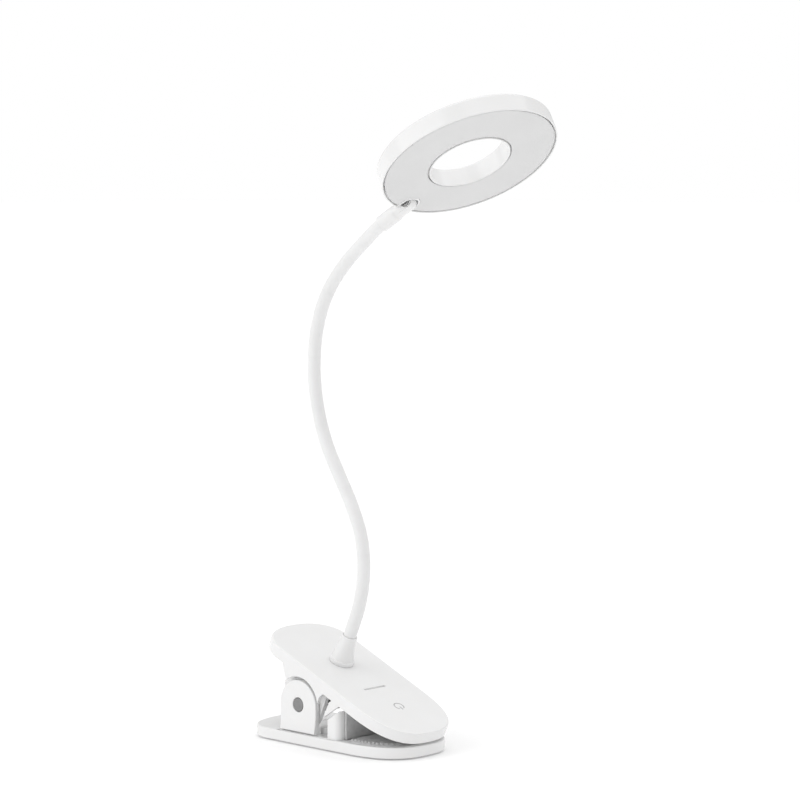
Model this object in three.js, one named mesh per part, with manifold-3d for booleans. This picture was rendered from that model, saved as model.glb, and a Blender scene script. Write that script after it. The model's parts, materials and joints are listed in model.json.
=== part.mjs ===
// Clip-on reading lamp: a spring clamp, a bendable neck and a ring-shaped LED head.
// Millimetres, +Z up. The origin is the middle of the flat underside of the lower jaw,
// +X points to the jaw tips and -X to the squeeze handle.

import * as THREE from 'three';
import { mergeVertices } from 'three/addons/utils/BufferGeometryUtils.js';
import Module from 'manifold-3d';

const wasm = await Module();
wasm.setup();
const { Manifold, Mesh } = wasm;

// ---------------------------------------------------------------- driving sizes

const GAP = 0.3;                    // running clearance between pieces

const JAW = {
  rear: 45,                         // pivot to the end of the squeeze handle
  front: 74,                        // pivot to the jaw tip
  rearRound: 21,                    // length of the rounded handle end
  frontRound: 38,                   // length of the rounded tip
  wall: 1.8,
};
const PIVOT = { x: -13, z: 23, pin: 2.2, head: 3.8 };
const LOWER = { half: 29, top: 7, foot: 0.8, cover: 1.9, ceiling: 4.3, seat: 5.7 };
const UPPER = { half: 28.4, under: 16, top: 22.7, skin: 1.5, tilt: THREE.MathUtils.degToRad(23.5) };
const EAR = { radius: 14, outer: 27.9, inner: 24.9, arch: 16.0 };
const CHEEK = { radius: 15, rear: 17.5, inner: 21.5, outer: 24.2 };
const LINER = { half: 23.5, thick: 1.2, rise: 0.3 };
const NECK = { sleeve: 3.7, cup: 4.3, core: 2.0, links: 7, sides: 14 };
const COLLAR = { u: -2.5, base: 7.2, tip: 4.6, height: 17 };
const PAD = { rear: 36, margin: 5.5, sunk: 1, proud: 1.3, upperProud: 0.9 };
const RING = { outer: 50, hole: 22.3, thick: 11, wall: 1.5 };
const KNUCKLE = {
  from: 44.5,                       // middle of the ring to the tilt pin
  up: 1.1,                          // lit face to the tilt pin
  radius: 4.2,
  stem: 4.6,
  half: 3.1,
  slot: 5.0,
  roof: 8.2,
  pin: 0.8,
  lift: 0.06,                       // how much steeper the neck comes in than the ring lies
  grip: 17,                         // knuckle to the end of the sleeve
};

// Where the head hangs: the middle of its lit face, the way that face looks,
// and the way from the knuckle to the middle of the ring.
const HEAD_AT = new THREE.Vector3(76.6, 16, 325.7);
const HEAD_LOOK = new THREE.Vector3(0.537, -0.132, -0.833).normalize();
const HEAD_REACH = new THREE.Vector3(0.807, 0.176, 0.494).normalize();

// The bend that the neck was left in, from the collar to the head.
const NECK_ROUTE = [
  [8.2, 0, 79], [11.5, 0, 97], [9.9, 0, 116], [2.9, 0, 133], [-7.2, 0, 150],
  [-17.6, 0, 168], [-24.8, 0, 189], [-27.4, 0, 211], [-25.0, 0.1, 233],
  [-18.0, 0.8, 252], [-6.0, 2.2, 268.5], [10.2, 4.0, 283.6],
];

// ---------------------------------------------------------------- materials

const finish = {
  shell: { color: 0xf4f4f2, roughness: 0.28, metalness: 0 },
  silicone: { color: 0xefefec, roughness: 0.5, metalness: 0 },
  rubber: { color: 0x6f7173, roughness: 0.85, metalness: 0 },
  steel: { color: 0xa9abad, roughness: 0.35, metalness: 1 },
  brass: { color: 0xc8a860, roughness: 0.35, metalness: 1 },
  diffuser: { color: 0xe6e7e6, roughness: 0.45, metalness: 0 },
  clear: { color: 0xeef3f5, roughness: 0.1, metalness: 0 },
  board: { color: 0xdfe6df, roughness: 0.5, metalness: 0 },
  greenBoard: { color: 0x2f6b46, roughness: 0.5, metalness: 0 },
  foil: { color: 0xc9ccd0, roughness: 0.4, metalness: 0.6 },
  copper: { color: 0xc17a4a, roughness: 0.35, metalness: 1 },
  film: { color: 0xffffff, roughness: 0.7, metalness: 0 },
};

function named(name, geometry, look) {
  const material = new THREE.MeshStandardMaterial(finish[look]);
  material.name = look;
  const mesh = new THREE.Mesh(geometry, material);
  mesh.name = name;
  return mesh;
}

// ---------------------------------------------------------------- solid helpers

function solid(geometry) {
  const bare = geometry.clone();
  for (const key of Object.keys(bare.attributes)) {
    if (key !== 'position') {
      bare.deleteAttribute(key);
    }
  }
  const welded = mergeVertices(bare, 1e-4);
  const data = new Mesh({
    numProp: 3,
    vertProperties: Float32Array.from(welded.attributes.position.array),
    triVerts: Uint32Array.from(welded.index.array),
  });
  return new Manifold(data);
}

function shaped(body) {
  const data = body.getMesh();
  const geometry = new THREE.BufferGeometry();
  geometry.setAttribute('position', new THREE.BufferAttribute(data.vertProperties, 3));
  geometry.setIndex(new THREE.BufferAttribute(data.triVerts, 1));
  geometry.computeVertexNormals();
  return geometry;
}

// A flat shape in X and Y, raised from one height to another.
function slab(shape, from, to) {
  const geometry = new THREE.ExtrudeGeometry(shape, {
    depth: to - from,
    bevelEnabled: false,
    curveSegments: 4,
  });
  geometry.translate(0, 0, from);
  return solid(geometry);
}

// The same with its edges taken off.
function softSlab(shape, from, to, edge, steps = 1) {
  const geometry = new THREE.ExtrudeGeometry(shape, {
    depth: to - from - 2 * edge,
    bevelEnabled: true,
    bevelThickness: edge,
    bevelSize: edge,
    bevelOffset: -edge,
    bevelSegments: steps,
    curveSegments: 4,
  });
  geometry.translate(0, 0, from + edge);
  return solid(geometry);
}

// A side view in X and Z, drawn out in Y.
function sideways(shape, from, to) {
  const geometry = new THREE.ExtrudeGeometry(shape, {
    depth: to - from,
    bevelEnabled: false,
    curveSegments: 8,
  });
  geometry.rotateX(Math.PI / 2);
  geometry.translate(0, to, 0);
  return solid(geometry);
}

function box(x0, x1, y0, y1, z0, z1) {
  const geometry = new THREE.BoxGeometry(x1 - x0, y1 - y0, z1 - z0);
  geometry.translate((x0 + x1) / 2, (y0 + y1) / 2, (z0 + z1) / 2);
  return solid(geometry);
}

function upright(x, y, radius, from, to, sides = 16) {
  const geometry = new THREE.CylinderGeometry(radius, radius, to - from, sides);
  geometry.rotateX(Math.PI / 2);
  geometry.translate(x, y, (from + to) / 2);
  return solid(geometry);
}

function crosswise(x, z, radius, from, to, sides = 24) {
  const geometry = new THREE.CylinderGeometry(radius, radius, to - from, sides);
  geometry.translate(x, (from + to) / 2, z);
  return solid(geometry);
}

// A turned piece about Z, from [radius, height] pairs that start and end on the axis.
function turned(profile, sides = 32) {
  const points = profile.map(([r, z]) => new THREE.Vector2(r, z));
  const geometry = new THREE.LatheGeometry(points, sides);
  geometry.rotateX(Math.PI / 2);
  return solid(geometry);
}

function polygon(points) {
  return new THREE.Shape(points.map(([x, y]) => new THREE.Vector2(x, y)));
}

// The plan of a jaw: straight flanks, a rounded handle end and a squarer tip.
function jawPlan(half, inset = 0, x0 = 0) {
  const points = [];
  const arc = 14;
  const ends = [
    { at: JAW.front, sign: 1, round: JAW.frontRound, power: 2.7 },
    { at: JAW.rear, sign: -1, round: JAW.rearRound, power: 2.3 },
  ];
  for (const { at, sign, round, power } of ends) {
    for (let i = 0; i <= arc; i += 1) {
      const t = -Math.PI / 2 + (Math.PI * i) / arc;
      const along = Math.abs(Math.cos(t)) ** (2 / power);
      const across = Math.sign(Math.sin(t)) * Math.abs(Math.sin(t)) ** (2 / power);
      const x = sign * (at - round + (round - inset) * along);
      points.push([x0 + x, sign * (half - inset) * across]);
    }
  }
  return polygon(points);
}

function roundedBox(x0, x1, y0, y1, radius) {
  const shape = new THREE.Shape();
  shape.moveTo(x0 + radius, y0);
  shape.lineTo(x1 - radius, y0);
  shape.absarc(x1 - radius, y0 + radius, radius, -Math.PI / 2, 0, false);
  shape.lineTo(x1, y1 - radius);
  shape.absarc(x1 - radius, y1 - radius, radius, 0, Math.PI / 2, false);
  shape.lineTo(x0 + radius, y1);
  shape.absarc(x0 + radius, y1 - radius, radius, Math.PI / 2, Math.PI, false);
  shape.lineTo(x0, y0 + radius);
  shape.absarc(x0 + radius, y0 + radius, radius, Math.PI, Math.PI * 1.5, false);
  return shape;
}

// ---------------------------------------------------------------- lower jaw

const LOWER_SCREWS = [[-9.5, -18], [-9.5, 18], [13, -18], [13, 18]];
const BRACKET = { rear: -15.5, front: 32.3, floor: 6.0, corner: 3.5 };

// The bracket's floor plan: square at the handle side, rounded into the mouth.
function bracketPlan(inset, rear = BRACKET.rear) {
  const half = EAR.outer - inset;
  const front = BRACKET.front - inset;
  const round = BRACKET.corner - inset;
  const shape = new THREE.Shape();
  shape.moveTo(rear, -half);
  shape.lineTo(front - round, -half);
  shape.absarc(front - round, -half + round, round, -Math.PI / 2, 0, false);
  shape.lineTo(front, half - round);
  shape.absarc(front - round, half - round, round, 0, Math.PI / 2, false);
  shape.lineTo(rear, half);
  shape.closePath();
  return shape;
}

function hingeBracket() {
  const drop = LOWER.top - PIVOT.z;
  const floor = slab(bracketPlan(0), BRACKET.floor - PIVOT.z, drop);
  // Ears: round over the pivot, straight flanks, flared at the handle side of the foot.
  const ear = new THREE.Shape();
  ear.moveTo(EAR.radius - 0.8, drop - 0.5);
  ear.lineTo(EAR.radius, -6);
  ear.lineTo(EAR.radius, 0);
  ear.absarc(0, 0, EAR.radius, 0, Math.PI, false);
  ear.lineTo(-EAR.radius, -8);
  ear.quadraticCurveTo(-EAR.radius, drop + 0.6, BRACKET.rear, drop);
  ear.lineTo(BRACKET.rear, drop - 0.5);
  ear.closePath();
  let body = floor;
  for (const side of [-1, 1]) {
    const y = [side * EAR.inner, side * EAR.outer].sort((a, b) => a - b);
    body = body.add(sideways(ear, y[0], y[1]));
  }
  // The back stop: a wall that closes the mouth and turns the corner to both flanks,
  // cut on a slant so that the upper jaw's horn closes over it.
  const stop = slab(bracketPlan(0, 10), drop - 0.5, 6).subtract(slab(bracketPlan(2.2, 5), drop - 1, 7));
  const beyond = BRACKET.front + 1;
  const slant = polygon([[23.2, drop - 1], [23.2, -5.3], [beyond, 1.1], [beyond, drop - 1]]);
  body = body.add(stop.intersect(sideways(slant, -30, 30)));
  for (const [x, y] of LOWER_SCREWS) {
    body = body.add(upright(x, y, 3.2, drop - 0.5, drop + 4));
    body = body.subtract(upright(x, y, 1.2, drop - 3, drop + 3));
  }
  body = body.subtract(crosswise(0, 0, PIVOT.pin + GAP, -30, 30));
  body = body.subtract(crosswise(0, 0, PIVOT.head + GAP, -30, -EAR.outer + 1.6));
  body = body.subtract(crosswise(0, 0, PIVOT.head + GAP, EAR.outer - 1.6, 30));
  return named('hinge_bracket', shaped(body), 'shell');
}

function lowerShell() {
  let body = softSlab(jawPlan(LOWER.half), LOWER.foot - PIVOT.z, LOWER.top - PIVOT.z, 0.6);
  const hollow = jawPlan(LOWER.half, JAW.wall);
  body = body.subtract(slab(hollow, LOWER.foot - PIVOT.z - 1, LOWER.ceiling - PIVOT.z));
  const seat = bracketPlan(-GAP, BRACKET.rear - GAP);
  body = body.subtract(slab(seat, LOWER.seat - PIVOT.z, LOWER.top - PIVOT.z + 1));
  const seatFloor = LOWER.top - PAD.sunk - PIVOT.z;
  body = body.subtract(padPiece(LOWER.half, GAP, seatFloor, seatFloor + 2, 0));
  for (const [x, y] of LOWER_SCREWS) {
    body = body.subtract(upright(x, y, 1.2, -PIVOT.z, LOWER.top - PIVOT.z + 1));
  }
  return named('lower_shell', shaped(body), 'shell');
}

function lowerCover() {
  let body = slab(jawPlan(LOWER.half, JAW.wall + GAP), LOWER.foot - PIVOT.z, LOWER.cover - PIVOT.z);
  for (const [x, y] of LOWER_SCREWS) {
    body = body.subtract(upright(x, y, 2.3, LOWER.foot - PIVOT.z - 1, LOWER.cover - PIVOT.z + 1));
  }
  return named('lower_cover', shaped(body), 'shell');
}

function footPad() {
  const body = softSlab(jawPlan(LOWER.half, 3), -PIVOT.z, LOWER.foot - GAP / 3 - PIVOT.z, 0.3, 1);
  return named('foot_pad', shaped(body), 'rubber');
}

function ballastPlate() {
  const low = LOWER.cover + GAP - PIVOT.z;
  const high = LOWER.ceiling - GAP - PIVOT.z;
  let body = slab(jawPlan(LOWER.half, JAW.wall + 3), low, high);
  for (const [x, y] of LOWER_SCREWS) {
    body = body.subtract(upright(x, y, 3, low - 1, high + 1));
  }
  return named('ballast_plate', shaped(body), 'steel');
}

// A grip pad, or its seat, follows the jaw's own outline from PAD.rear to the tip.
function padPiece(half, spare, from, to, edge) {
  const plan = jawPlan(half, PAD.margin - spare);
  const whole = edge > 0 ? softSlab(plan, from, to, edge) : slab(plan, from, to);
  return whole.intersect(box(PAD.rear - spare, JAW.front, -30, 30, from, to));
}

function lowerGripPad() {
  const low = LOWER.top - PAD.sunk + 0.05 - PIVOT.z;
  const body = padPiece(LOWER.half, 0, low, LOWER.top + PAD.proud - PIVOT.z, 0.4);
  return named('lower_grip_pad', shaped(body), 'rubber');
}

// A rubber facing on the back stop, at the bottom of the mouth.
function mouthLiner() {
  const x = BRACKET.front + GAP;
  const low = LOWER.top + GAP - PIVOT.z;
  const body = box(x, x + LINER.thick, -LINER.half, LINER.half, low, LINER.rise);
  return named('mouth_liner', shaped(body), 'rubber');
}

function pivotPin() {
  const shank = crosswise(0, 0, PIVOT.pin, -EAR.outer + 0.5, EAR.outer - 3);
  const head = crosswise(0, 0, PIVOT.head, -EAR.outer + 0.1, -EAR.outer + 1.4, 40);
  return named('pivot_pin', shaped(shank.add(head)), 'steel');
}

function pinCap() {
  const cap = crosswise(0, 0, PIVOT.head, EAR.outer - 1.4, EAR.outer - 0.1, 40);
  return named('pin_cap', shaped(cap), 'steel');
}

// A screw with its head down, its shank up.
function screw(name, x, y, seat, length, head = 1.9, shank = 0.9) {
  const profile = [[0, 0], [head, 0], [head, 0.7], [shank, 0.7], [shank, length - 0.5], [0, length]];
  const body = turned(profile, 12);
  const mesh = named(name, shaped(body), 'steel');
  mesh.position.set(x, y, seat);
  return mesh;
}

// The torsion spring: a coil about the pin, one leg down to the lower jaw's handle
// and one up to the upper jaw's.
class SpringPath extends THREE.Curve {
  getPoint(t, target = new THREE.Vector3()) {
    const turns = 4.62;
    const radius = 5.6;
    const leg = 15;
    const start = Math.PI * 1.17;
    const share = 0.16;
    const angle = start + turns * 2 * Math.PI * THREE.MathUtils.clamp((t - share) / (1 - 2 * share), 0, 1);
    const across = -7 + 14 * THREE.MathUtils.clamp((t - share) / (1 - 2 * share), 0, 1);
    const on = [radius * Math.cos(angle), radius * Math.sin(angle)];
    let off = 0;
    if (t < share) {
      off = -leg * (1 - t / share);
    } else if (t > 1 - share) {
      off = leg * (1 - (1 - t) / share);
    }
    return target.set(on[0] - off * Math.sin(angle), across, on[1] + off * Math.cos(angle));
  }
}

function torsionSpring() {
  const wire = new THREE.Shape();
  wire.absarc(0, 0, 0.8, 0, Math.PI * 2, false);
  const geometry = new THREE.ExtrudeGeometry(wire, {
    steps: 76,
    curveSegments: 3,
    extrudePath: new SpringPath(),
    bevelEnabled: false,
  });
  return named('torsion_spring', shaped(solid(geometry)), 'steel');
}

// ---------------------------------------------------------------- upper jaw

const UPPER_SCREWS = [[-27, -20], [-27, 20], [28, -22.5], [28, 22.5]];
const STATUS = { u: 26.3, length: 17, width: 1.2 };
const TOUCH = { u: 46.5, radius: 6.5 };
const SOCKET = { rear: -44.6, inner: -37.5, half: 4.6, low: 17.85, high: 20.75 };

// The skirt that closes over each ear: a tail behind the arch, a spike in front of it,
// then the horn that meets the back stop.
function skirt() {
  const under = UPPER.under + 0.6;
  const tail = Math.atan2(8.2, -13.3);
  const spike = Math.atan2(8.2, 13.4);
  const shape = new THREE.Shape();
  shape.moveTo(-18.4, under);
  shape.quadraticCurveTo(-17.0, 11.5, EAR.arch * Math.cos(tail), EAR.arch * Math.sin(tail));
  shape.absarc(0, 0, EAR.arch, tail, spike, true);
  shape.quadraticCurveTo(12.2, 12.6, 15.0, UPPER.under);
  shape.lineTo(15.0, under);
  shape.closePath();
  return shape;
}

function horn() {
  const shape = new THREE.Shape();
  shape.moveTo(22.1, UPPER.under + 0.6);
  shape.quadraticCurveTo(19.8, 11.5, 21.2, 5.0);
  shape.lineTo(28.5, UPPER.under);
  shape.lineTo(28.5, UPPER.under + 0.6);
  shape.closePath();
  return shape;
}

function upperCover() {
  let body = softSlab(jawPlan(UPPER.half), UPPER.under, UPPER.top, 0.9);
  const hollow = jawPlan(UPPER.half, JAW.wall);
  body = body.subtract(slab(hollow, UPPER.under - 1, UPPER.top - UPPER.skin));
  for (const side of [-1, 1]) {
    const y = [side * (UPPER.half - JAW.wall), side * UPPER.half].sort((a, b) => a - b);
    body = body.add(sideways(skirt(), y[0], y[1]));
    body = body.add(sideways(horn(), y[0], y[1]));
  }
  for (const [x, y] of UPPER_SCREWS) {
    body = body.add(upright(x, y, 2.6, 17.75, UPPER.top - UPPER.skin + 0.5));
    body = body.subtract(upright(x, y, 1.1, 17, 20.6));
  }
  body = body.subtract(upright(COLLAR.u, 0, 4.8, UPPER.under, UPPER.top + 1));
  const light = roundedBox(
    STATUS.u - STATUS.width / 2,
    STATUS.u + STATUS.width / 2,
    -STATUS.length / 2,
    STATUS.length / 2,
    STATUS.width / 2 - 0.01,
  );
  body = body.subtract(slab(light, UPPER.under, UPPER.top + 1));
  const wide = SOCKET.half + 0.15;
  const inlet = box(-JAW.rear - 1, SOCKET.inner, -wide, wide, SOCKET.low - 0.15, SOCKET.high + 0.15);
  body = body.subtract(inlet);
  return named('upper_cover', shaped(body), 'shell');
}

function upperBase() {
  let body = slab(jawPlan(UPPER.half, JAW.wall + GAP), UPPER.under, UPPER.under + 1.4);
  // Two cheeks turn inside the ears, carry the bushes on the pin and hide the spring.
  const cheek = new THREE.Shape();
  cheek.moveTo(CHEEK.radius, 0);
  cheek.lineTo(CHEEK.radius, UPPER.under + 0.5);
  cheek.lineTo(-CHEEK.rear, UPPER.under + 0.5);
  cheek.lineTo(-CHEEK.rear, 3.5);
  cheek.lineTo(-CHEEK.radius, 0);
  cheek.absarc(0, 0, CHEEK.radius, Math.PI, Math.PI * 2, false);
  for (const side of [-1, 1]) {
    const y = [side * CHEEK.inner, side * CHEEK.outer].sort((a, b) => a - b);
    body = body.add(sideways(cheek, y[0], y[1]));
  }
  body = body.subtract(crosswise(0, 0, 3.7, -25, 25));
  body = body.subtract(padPiece(UPPER.half, GAP, UPPER.under - 1, UPPER.under + 0.6, 0));
  for (const [x, y] of UPPER_SCREWS) {
    body = body.subtract(upright(x, y, 1.1, UPPER.under - 1, UPPER.under + 3));
    body = body.subtract(upright(x, y, 2.1, UPPER.under - 1, UPPER.under + 0.8));
  }
  return named('upper_base', shaped(body), 'shell');
}

function pivotBushes() {
  return [-1, 1].map((side, i) => {
    const y = [side * CHEEK.inner, side * 24.5].sort((a, b) => a - b);
    const ring = crosswise(0, 0, 3.5, y[0], y[1]).subtract(crosswise(0, 0, PIVOT.pin + 0.15, -30, 30));
    return named(`pivot_bush_${i + 1}`, shaped(ring), 'brass');
  });
}

function upperGripPad() {
  const body = padPiece(UPPER.half, 0, UPPER.under - PAD.upperProud, UPPER.under + 0.5, 0.4);
  return named('upper_grip_pad', shaped(body), 'rubber');
}

function battery() {
  const body = softSlab(roundedBox(-36.2, -12.0, -16, 16, 1.5), 17.7, 20.9, 0.8);
  return named('battery', shaped(body), 'foil');
}

function mainBoard() {
  let body = slab(roundedBox(12, 52, -15, 15, 1.5), 17.9, 18.9);
  const chips = [[18, -8, 3.5, 3.5, 1.0], [18, 6, 2.5, 4, 1.2], [32, -8, 2, 2, 0.8], [34, 7, 3, 2, 0.9]];
  for (const [x, y, w, d, h] of chips) {
    body = body.add(box(x - w, x + w, y - d, y + d, 18.6, 18.9 + h));
  }
  return named('main_board', shaped(body), 'greenBoard');
}

function chargeSocket() {
  const outer = box(SOCKET.rear, SOCKET.inner - 0.2, -SOCKET.half, SOCKET.half, SOCKET.low, SOCKET.high);
  const mouth = box(SOCKET.rear - 1.4, SOCKET.inner - 1.5, -SOCKET.half + 0.45, SOCKET.half - 0.45, SOCKET.low + 0.4, SOCKET.high - 0.4);
  const tongue = box(SOCKET.rear + 0.8, SOCKET.inner - 1, -2.8, 2.8, 19.0, 19.55);
  return named('charge_socket', shaped(outer.subtract(mouth).add(tongue)), 'steel');
}

function touchSensor() {
  return named('touch_sensor', shaped(upright(TOUCH.u, 0, TOUCH.radius, 20.5, 21.0, 36)), 'copper');
}

function statusLight() {
  const half = STATUS.width / 2 - 0.1;
  const reach = STATUS.length / 2 - 0.1;
  const plan = roundedBox(STATUS.u - half, STATUS.u + half, -reach, reach, half - 0.01);
  return named('status_light', shaped(slab(plan, 20.0, UPPER.top - 0.15)), 'clear');
}

function collar() {
  const bore = NECK.sleeve + 0.2;
  const body = turned([
    [0, 0.1], [COLLAR.base, 0.1], [COLLAR.base, 2.2], [COLLAR.base - 0.7, 3.0],
    [COLLAR.base - 1.1, 6.0], [COLLAR.tip + 0.35, 12.0], [COLLAR.tip, COLLAR.height - 0.4],
    [COLLAR.tip - 0.4, COLLAR.height], [0, COLLAR.height],
  ], 28).add(upright(0, 0, 4.5, -5.0, 1, 20));
  const hollow = upright(0, 0, bore, 6, COLLAR.height + 1, 20).add(upright(0, 0, 2.3, -6, 7, 12));
  const mesh = named('collar', shaped(body.subtract(hollow)), 'shell');
  mesh.position.set(COLLAR.u, 0, UPPER.top);
  return mesh;
}

function collarNut() {
  const top = UPPER.top - UPPER.skin - 0.1;
  const nut = upright(COLLAR.u, 0, 7.5, top - 2.8, top, 6).subtract(upright(COLLAR.u, 0, 4.6, 15, 25, 32));
  return named('collar_nut', shaped(nut), 'brass');
}

// ---------------------------------------------------------------- neck

const tiltedUp = new THREE.Vector3(Math.sin(UPPER.tilt), 0, Math.cos(UPPER.tilt));
const tiltedAlong = new THREE.Vector3(Math.cos(UPPER.tilt), 0, -Math.sin(UPPER.tilt));
const HEAD_UP = HEAD_LOOK.clone().negate();
const knuckleAt = HEAD_AT.clone()
  .addScaledVector(HEAD_REACH, -KNUCKLE.from)
  .addScaledVector(HEAD_UP, KNUCKLE.up);
const neckFoot = new THREE.Vector3(PIVOT.x, 0, PIVOT.z)
  .addScaledVector(tiltedAlong, COLLAR.u)
  .addScaledVector(tiltedUp, UPPER.top + 6.5);
// The neck comes in a little steeper than the ring lies.
const neckAim = HEAD_REACH.clone().addScaledVector(HEAD_UP, KNUCKLE.lift).normalize();
const neckEnd = knuckleAt.clone().addScaledVector(neckAim, -KNUCKLE.grip);

const neckCurve = new THREE.CatmullRomCurve3([
  neckFoot,
  neckFoot.clone().addScaledVector(tiltedUp, 10.5),
  ...NECK_ROUTE.map(([x, y, z]) => new THREE.Vector3(x, y, z)),
  neckEnd.clone().addScaledVector(neckAim, -5),
  neckEnd,
], false, 'centripetal');
neckCurve.arcLengthDivisions = 800;

// One stretch of the neck's own line, for a tube to follow.
class Stretch extends THREE.Curve {
  constructor(from, to) {
    super();
    this.from = from;
    this.to = to;
  }

  getPoint(t, target = new THREE.Vector3()) {
    return target.copy(neckCurve.getPointAt(this.from + (this.to - this.from) * t));
  }
}

function tube(from, to, radius, sides, steps) {
  const round = new THREE.Shape();
  round.absarc(0, 0, radius, 0, Math.PI * 2, false);
  const geometry = new THREE.ExtrudeGeometry(round, {
    steps,
    curveSegments: sides / 2,
    extrudePath: new Stretch(from, to),
    bevelEnabled: false,
  });
  return solid(geometry);
}

function ball(at, radius, sides = 12) {
  const geometry = new THREE.SphereGeometry(radius, sides, sides / 2);
  geometry.translate(at.x, at.y, at.z);
  return solid(geometry);
}

// The sleeve and the wire core are cut into links that meet in a ball and a cup,
// so the neck bends at each cut as the real one bends everywhere.
function neckLinks() {
  const length = neckCurve.getLength();
  const links = [];
  for (let i = 0; i < NECK.links; i += 1) {
    const from = i / NECK.links;
    const to = (i + 1) / NECK.links;
    const last = i === NECK.links - 1;
    let sleeve = tube(from, to, NECK.sleeve, NECK.sides, 8);
    if (!last) {
      sleeve = sleeve.add(ball(neckCurve.getPointAt(to), NECK.sleeve));
    }
    if (i > 0) {
      sleeve = sleeve.subtract(ball(neckCurve.getPointAt(from), NECK.cup));
    }
    const bore = tube(from, to - 6 / length, NECK.core + 0.2, 10, 6);
    sleeve = sleeve.subtract(bore);
    const core = tube(from + (i > 0 ? 5 : 0.5) / length, to - 6.4 / length, NECK.core, 10, 6);
    links.push(named(`neck_sleeve_${i + 1}`, shaped(sleeve), 'silicone'));
    links.push(named(`neck_core_${i + 1}`, shaped(core), 'steel'));
  }
  return links;
}

// ---------------------------------------------------------------- head
// Drawn lying flat: the lit face down at height 0, the knuckle at -X.

function annulus(outer, inner, from, to, sides = 56) {
  const geometry = new THREE.LatheGeometry([
    new THREE.Vector2(inner, from),
    new THREE.Vector2(outer, from),
    new THREE.Vector2(outer, to),
    new THREE.Vector2(inner, to),
    new THREE.Vector2(inner, from),
  ], sides);
  geometry.rotateX(Math.PI / 2);
  return solid(geometry);
}

// The notch that the knuckle turns in, or a larger one round it.
function notch(grow, from, to) {
  const radius = KNUCKLE.slot + grow;
  const shape = new THREE.Shape();
  shape.moveTo(-RING.outer - 6, -radius);
  shape.lineTo(-KNUCKLE.from, -radius);
  shape.absarc(-KNUCKLE.from, 0, radius, -Math.PI / 2, Math.PI / 2, false);
  shape.lineTo(-RING.outer - 6, radius);
  shape.closePath();
  return slab(shape, from, to);
}

function headHousing() {
  const { outer, hole, thick, wall } = RING;
  const edge = 1.2;
  const profile = [
    [hole, 0], [hole + wall, 0], [hole + wall, thick - wall], [outer - wall, thick - wall],
    [outer - wall, 0], [outer, 0], [outer, thick - edge], [outer - edge, thick],
    [hole + edge, thick], [hole, thick - edge], [hole, 0],
  ];
  const geometry = new THREE.LatheGeometry(profile.map(([r, z]) => new THREE.Vector2(r, z)), 56);
  geometry.rotateX(Math.PI / 2);
  let body = solid(geometry);
  const bound = annulus(outer, hole, 0, thick);
  body = body.add(notch(1.2, 0, thick).intersect(bound));
  body = body.subtract(notch(0, -1, KNUCKLE.roof));
  body = body.subtract(crosswise(-KNUCKLE.from, KNUCKLE.up, KNUCKLE.pin + 0.1, -6.3, 6.3, 16));
  return named('head_housing', shaped(body), 'shell');
}

function ringLayer(name, from, to, margin, look) {
  const body = annulus(RING.outer - RING.wall - margin, RING.hole + RING.wall + margin, from, to);
  return named(name, shaped(body.subtract(notch(1.2 + margin, from - 1, to + 1))), look);
}

function ledBoard() {
  const low = 7.3;
  const leds = 24;
  let body = annulus(RING.outer - 6, RING.hole + 6, low, low + 1.2).subtract(notch(2.4, 0, 12));
  for (let i = 0; i < leds; i += 1) {
    const angle = ((i + 0.5) / leds) * Math.PI * 2 + Math.PI;
    const x = 37 * Math.cos(angle);
    const y = 37 * Math.sin(angle);
    body = body.add(box(x - 1.4, x + 1.4, y - 1.4, y + 1.4, low - 0.8, low + 0.4));
  }
  return named('led_board', shaped(body), 'board');
}

function tiltPin() {
  const pin = crosswise(-KNUCKLE.from, KNUCKLE.up, KNUCKLE.pin, -6.1, 6.1, 16);
  return named('tilt_pin', shaped(pin), 'steel');
}

function tiltWashers() {
  return [-1, 1].map((side, i) => {
    const y = [side * 3.4, side * 4.1].sort((a, b) => a - b);
    const disc = crosswise(-KNUCKLE.from, KNUCKLE.up, 2.4, y[0], y[1], 20);
    const hole = crosswise(-KNUCKLE.from, KNUCKLE.up, KNUCKLE.pin + 0.1, -9, 9, 16);
    return named(`tilt_washer_${i + 1}`, shaped(disc.subtract(hole)), 'steel');
  });
}

// The ferrule on the neck's end, flattened into the knuckle's barrel.
// Drawn with the knuckle's middle at the origin and the neck along -X.
function neckFerrule() {
  const { radius, stem, half, slot, pin, grip } = KNUCKLE;
  const socket = NECK.sleeve + 0.25;
  const sleeveEnd = new THREE.LatheGeometry([
    new THREE.Vector2(0, 0.5),
    new THREE.Vector2(radius, 0.5),
    new THREE.Vector2(radius, 8),
    new THREE.Vector2(stem, 10),
    new THREE.Vector2(stem, grip + 3.5),
    new THREE.Vector2(stem - 0.3, grip + 4),
    new THREE.Vector2(0, grip + 4),
  ], 28);
  sleeveEnd.rotateZ(Math.PI / 2);
  const barrel = crosswise(0, 0, radius, -half, half, 28)
    .intersect(ball(new THREE.Vector3(), slot - 0.3, 24));
  const flats = box(-30, -7, -9, 9, -9, 9).add(box(-9, slot + 1, -half, half, -9, 9));
  const mouth = new THREE.CylinderGeometry(socket, socket, 12, 28);
  mouth.rotateZ(Math.PI / 2);
  mouth.translate(-grip - 4, 0, 0);
  const body = solid(sleeveEnd)
    .add(barrel)
    .intersect(flats)
    .subtract(crosswise(0, 0, pin + 0.15, -9, 9, 16))
    .subtract(solid(mouth));
  return named('neck_ferrule', shaped(body), 'shell');
}

// ---------------------------------------------------------------- assembly

const lamp = new THREE.Group();

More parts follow.
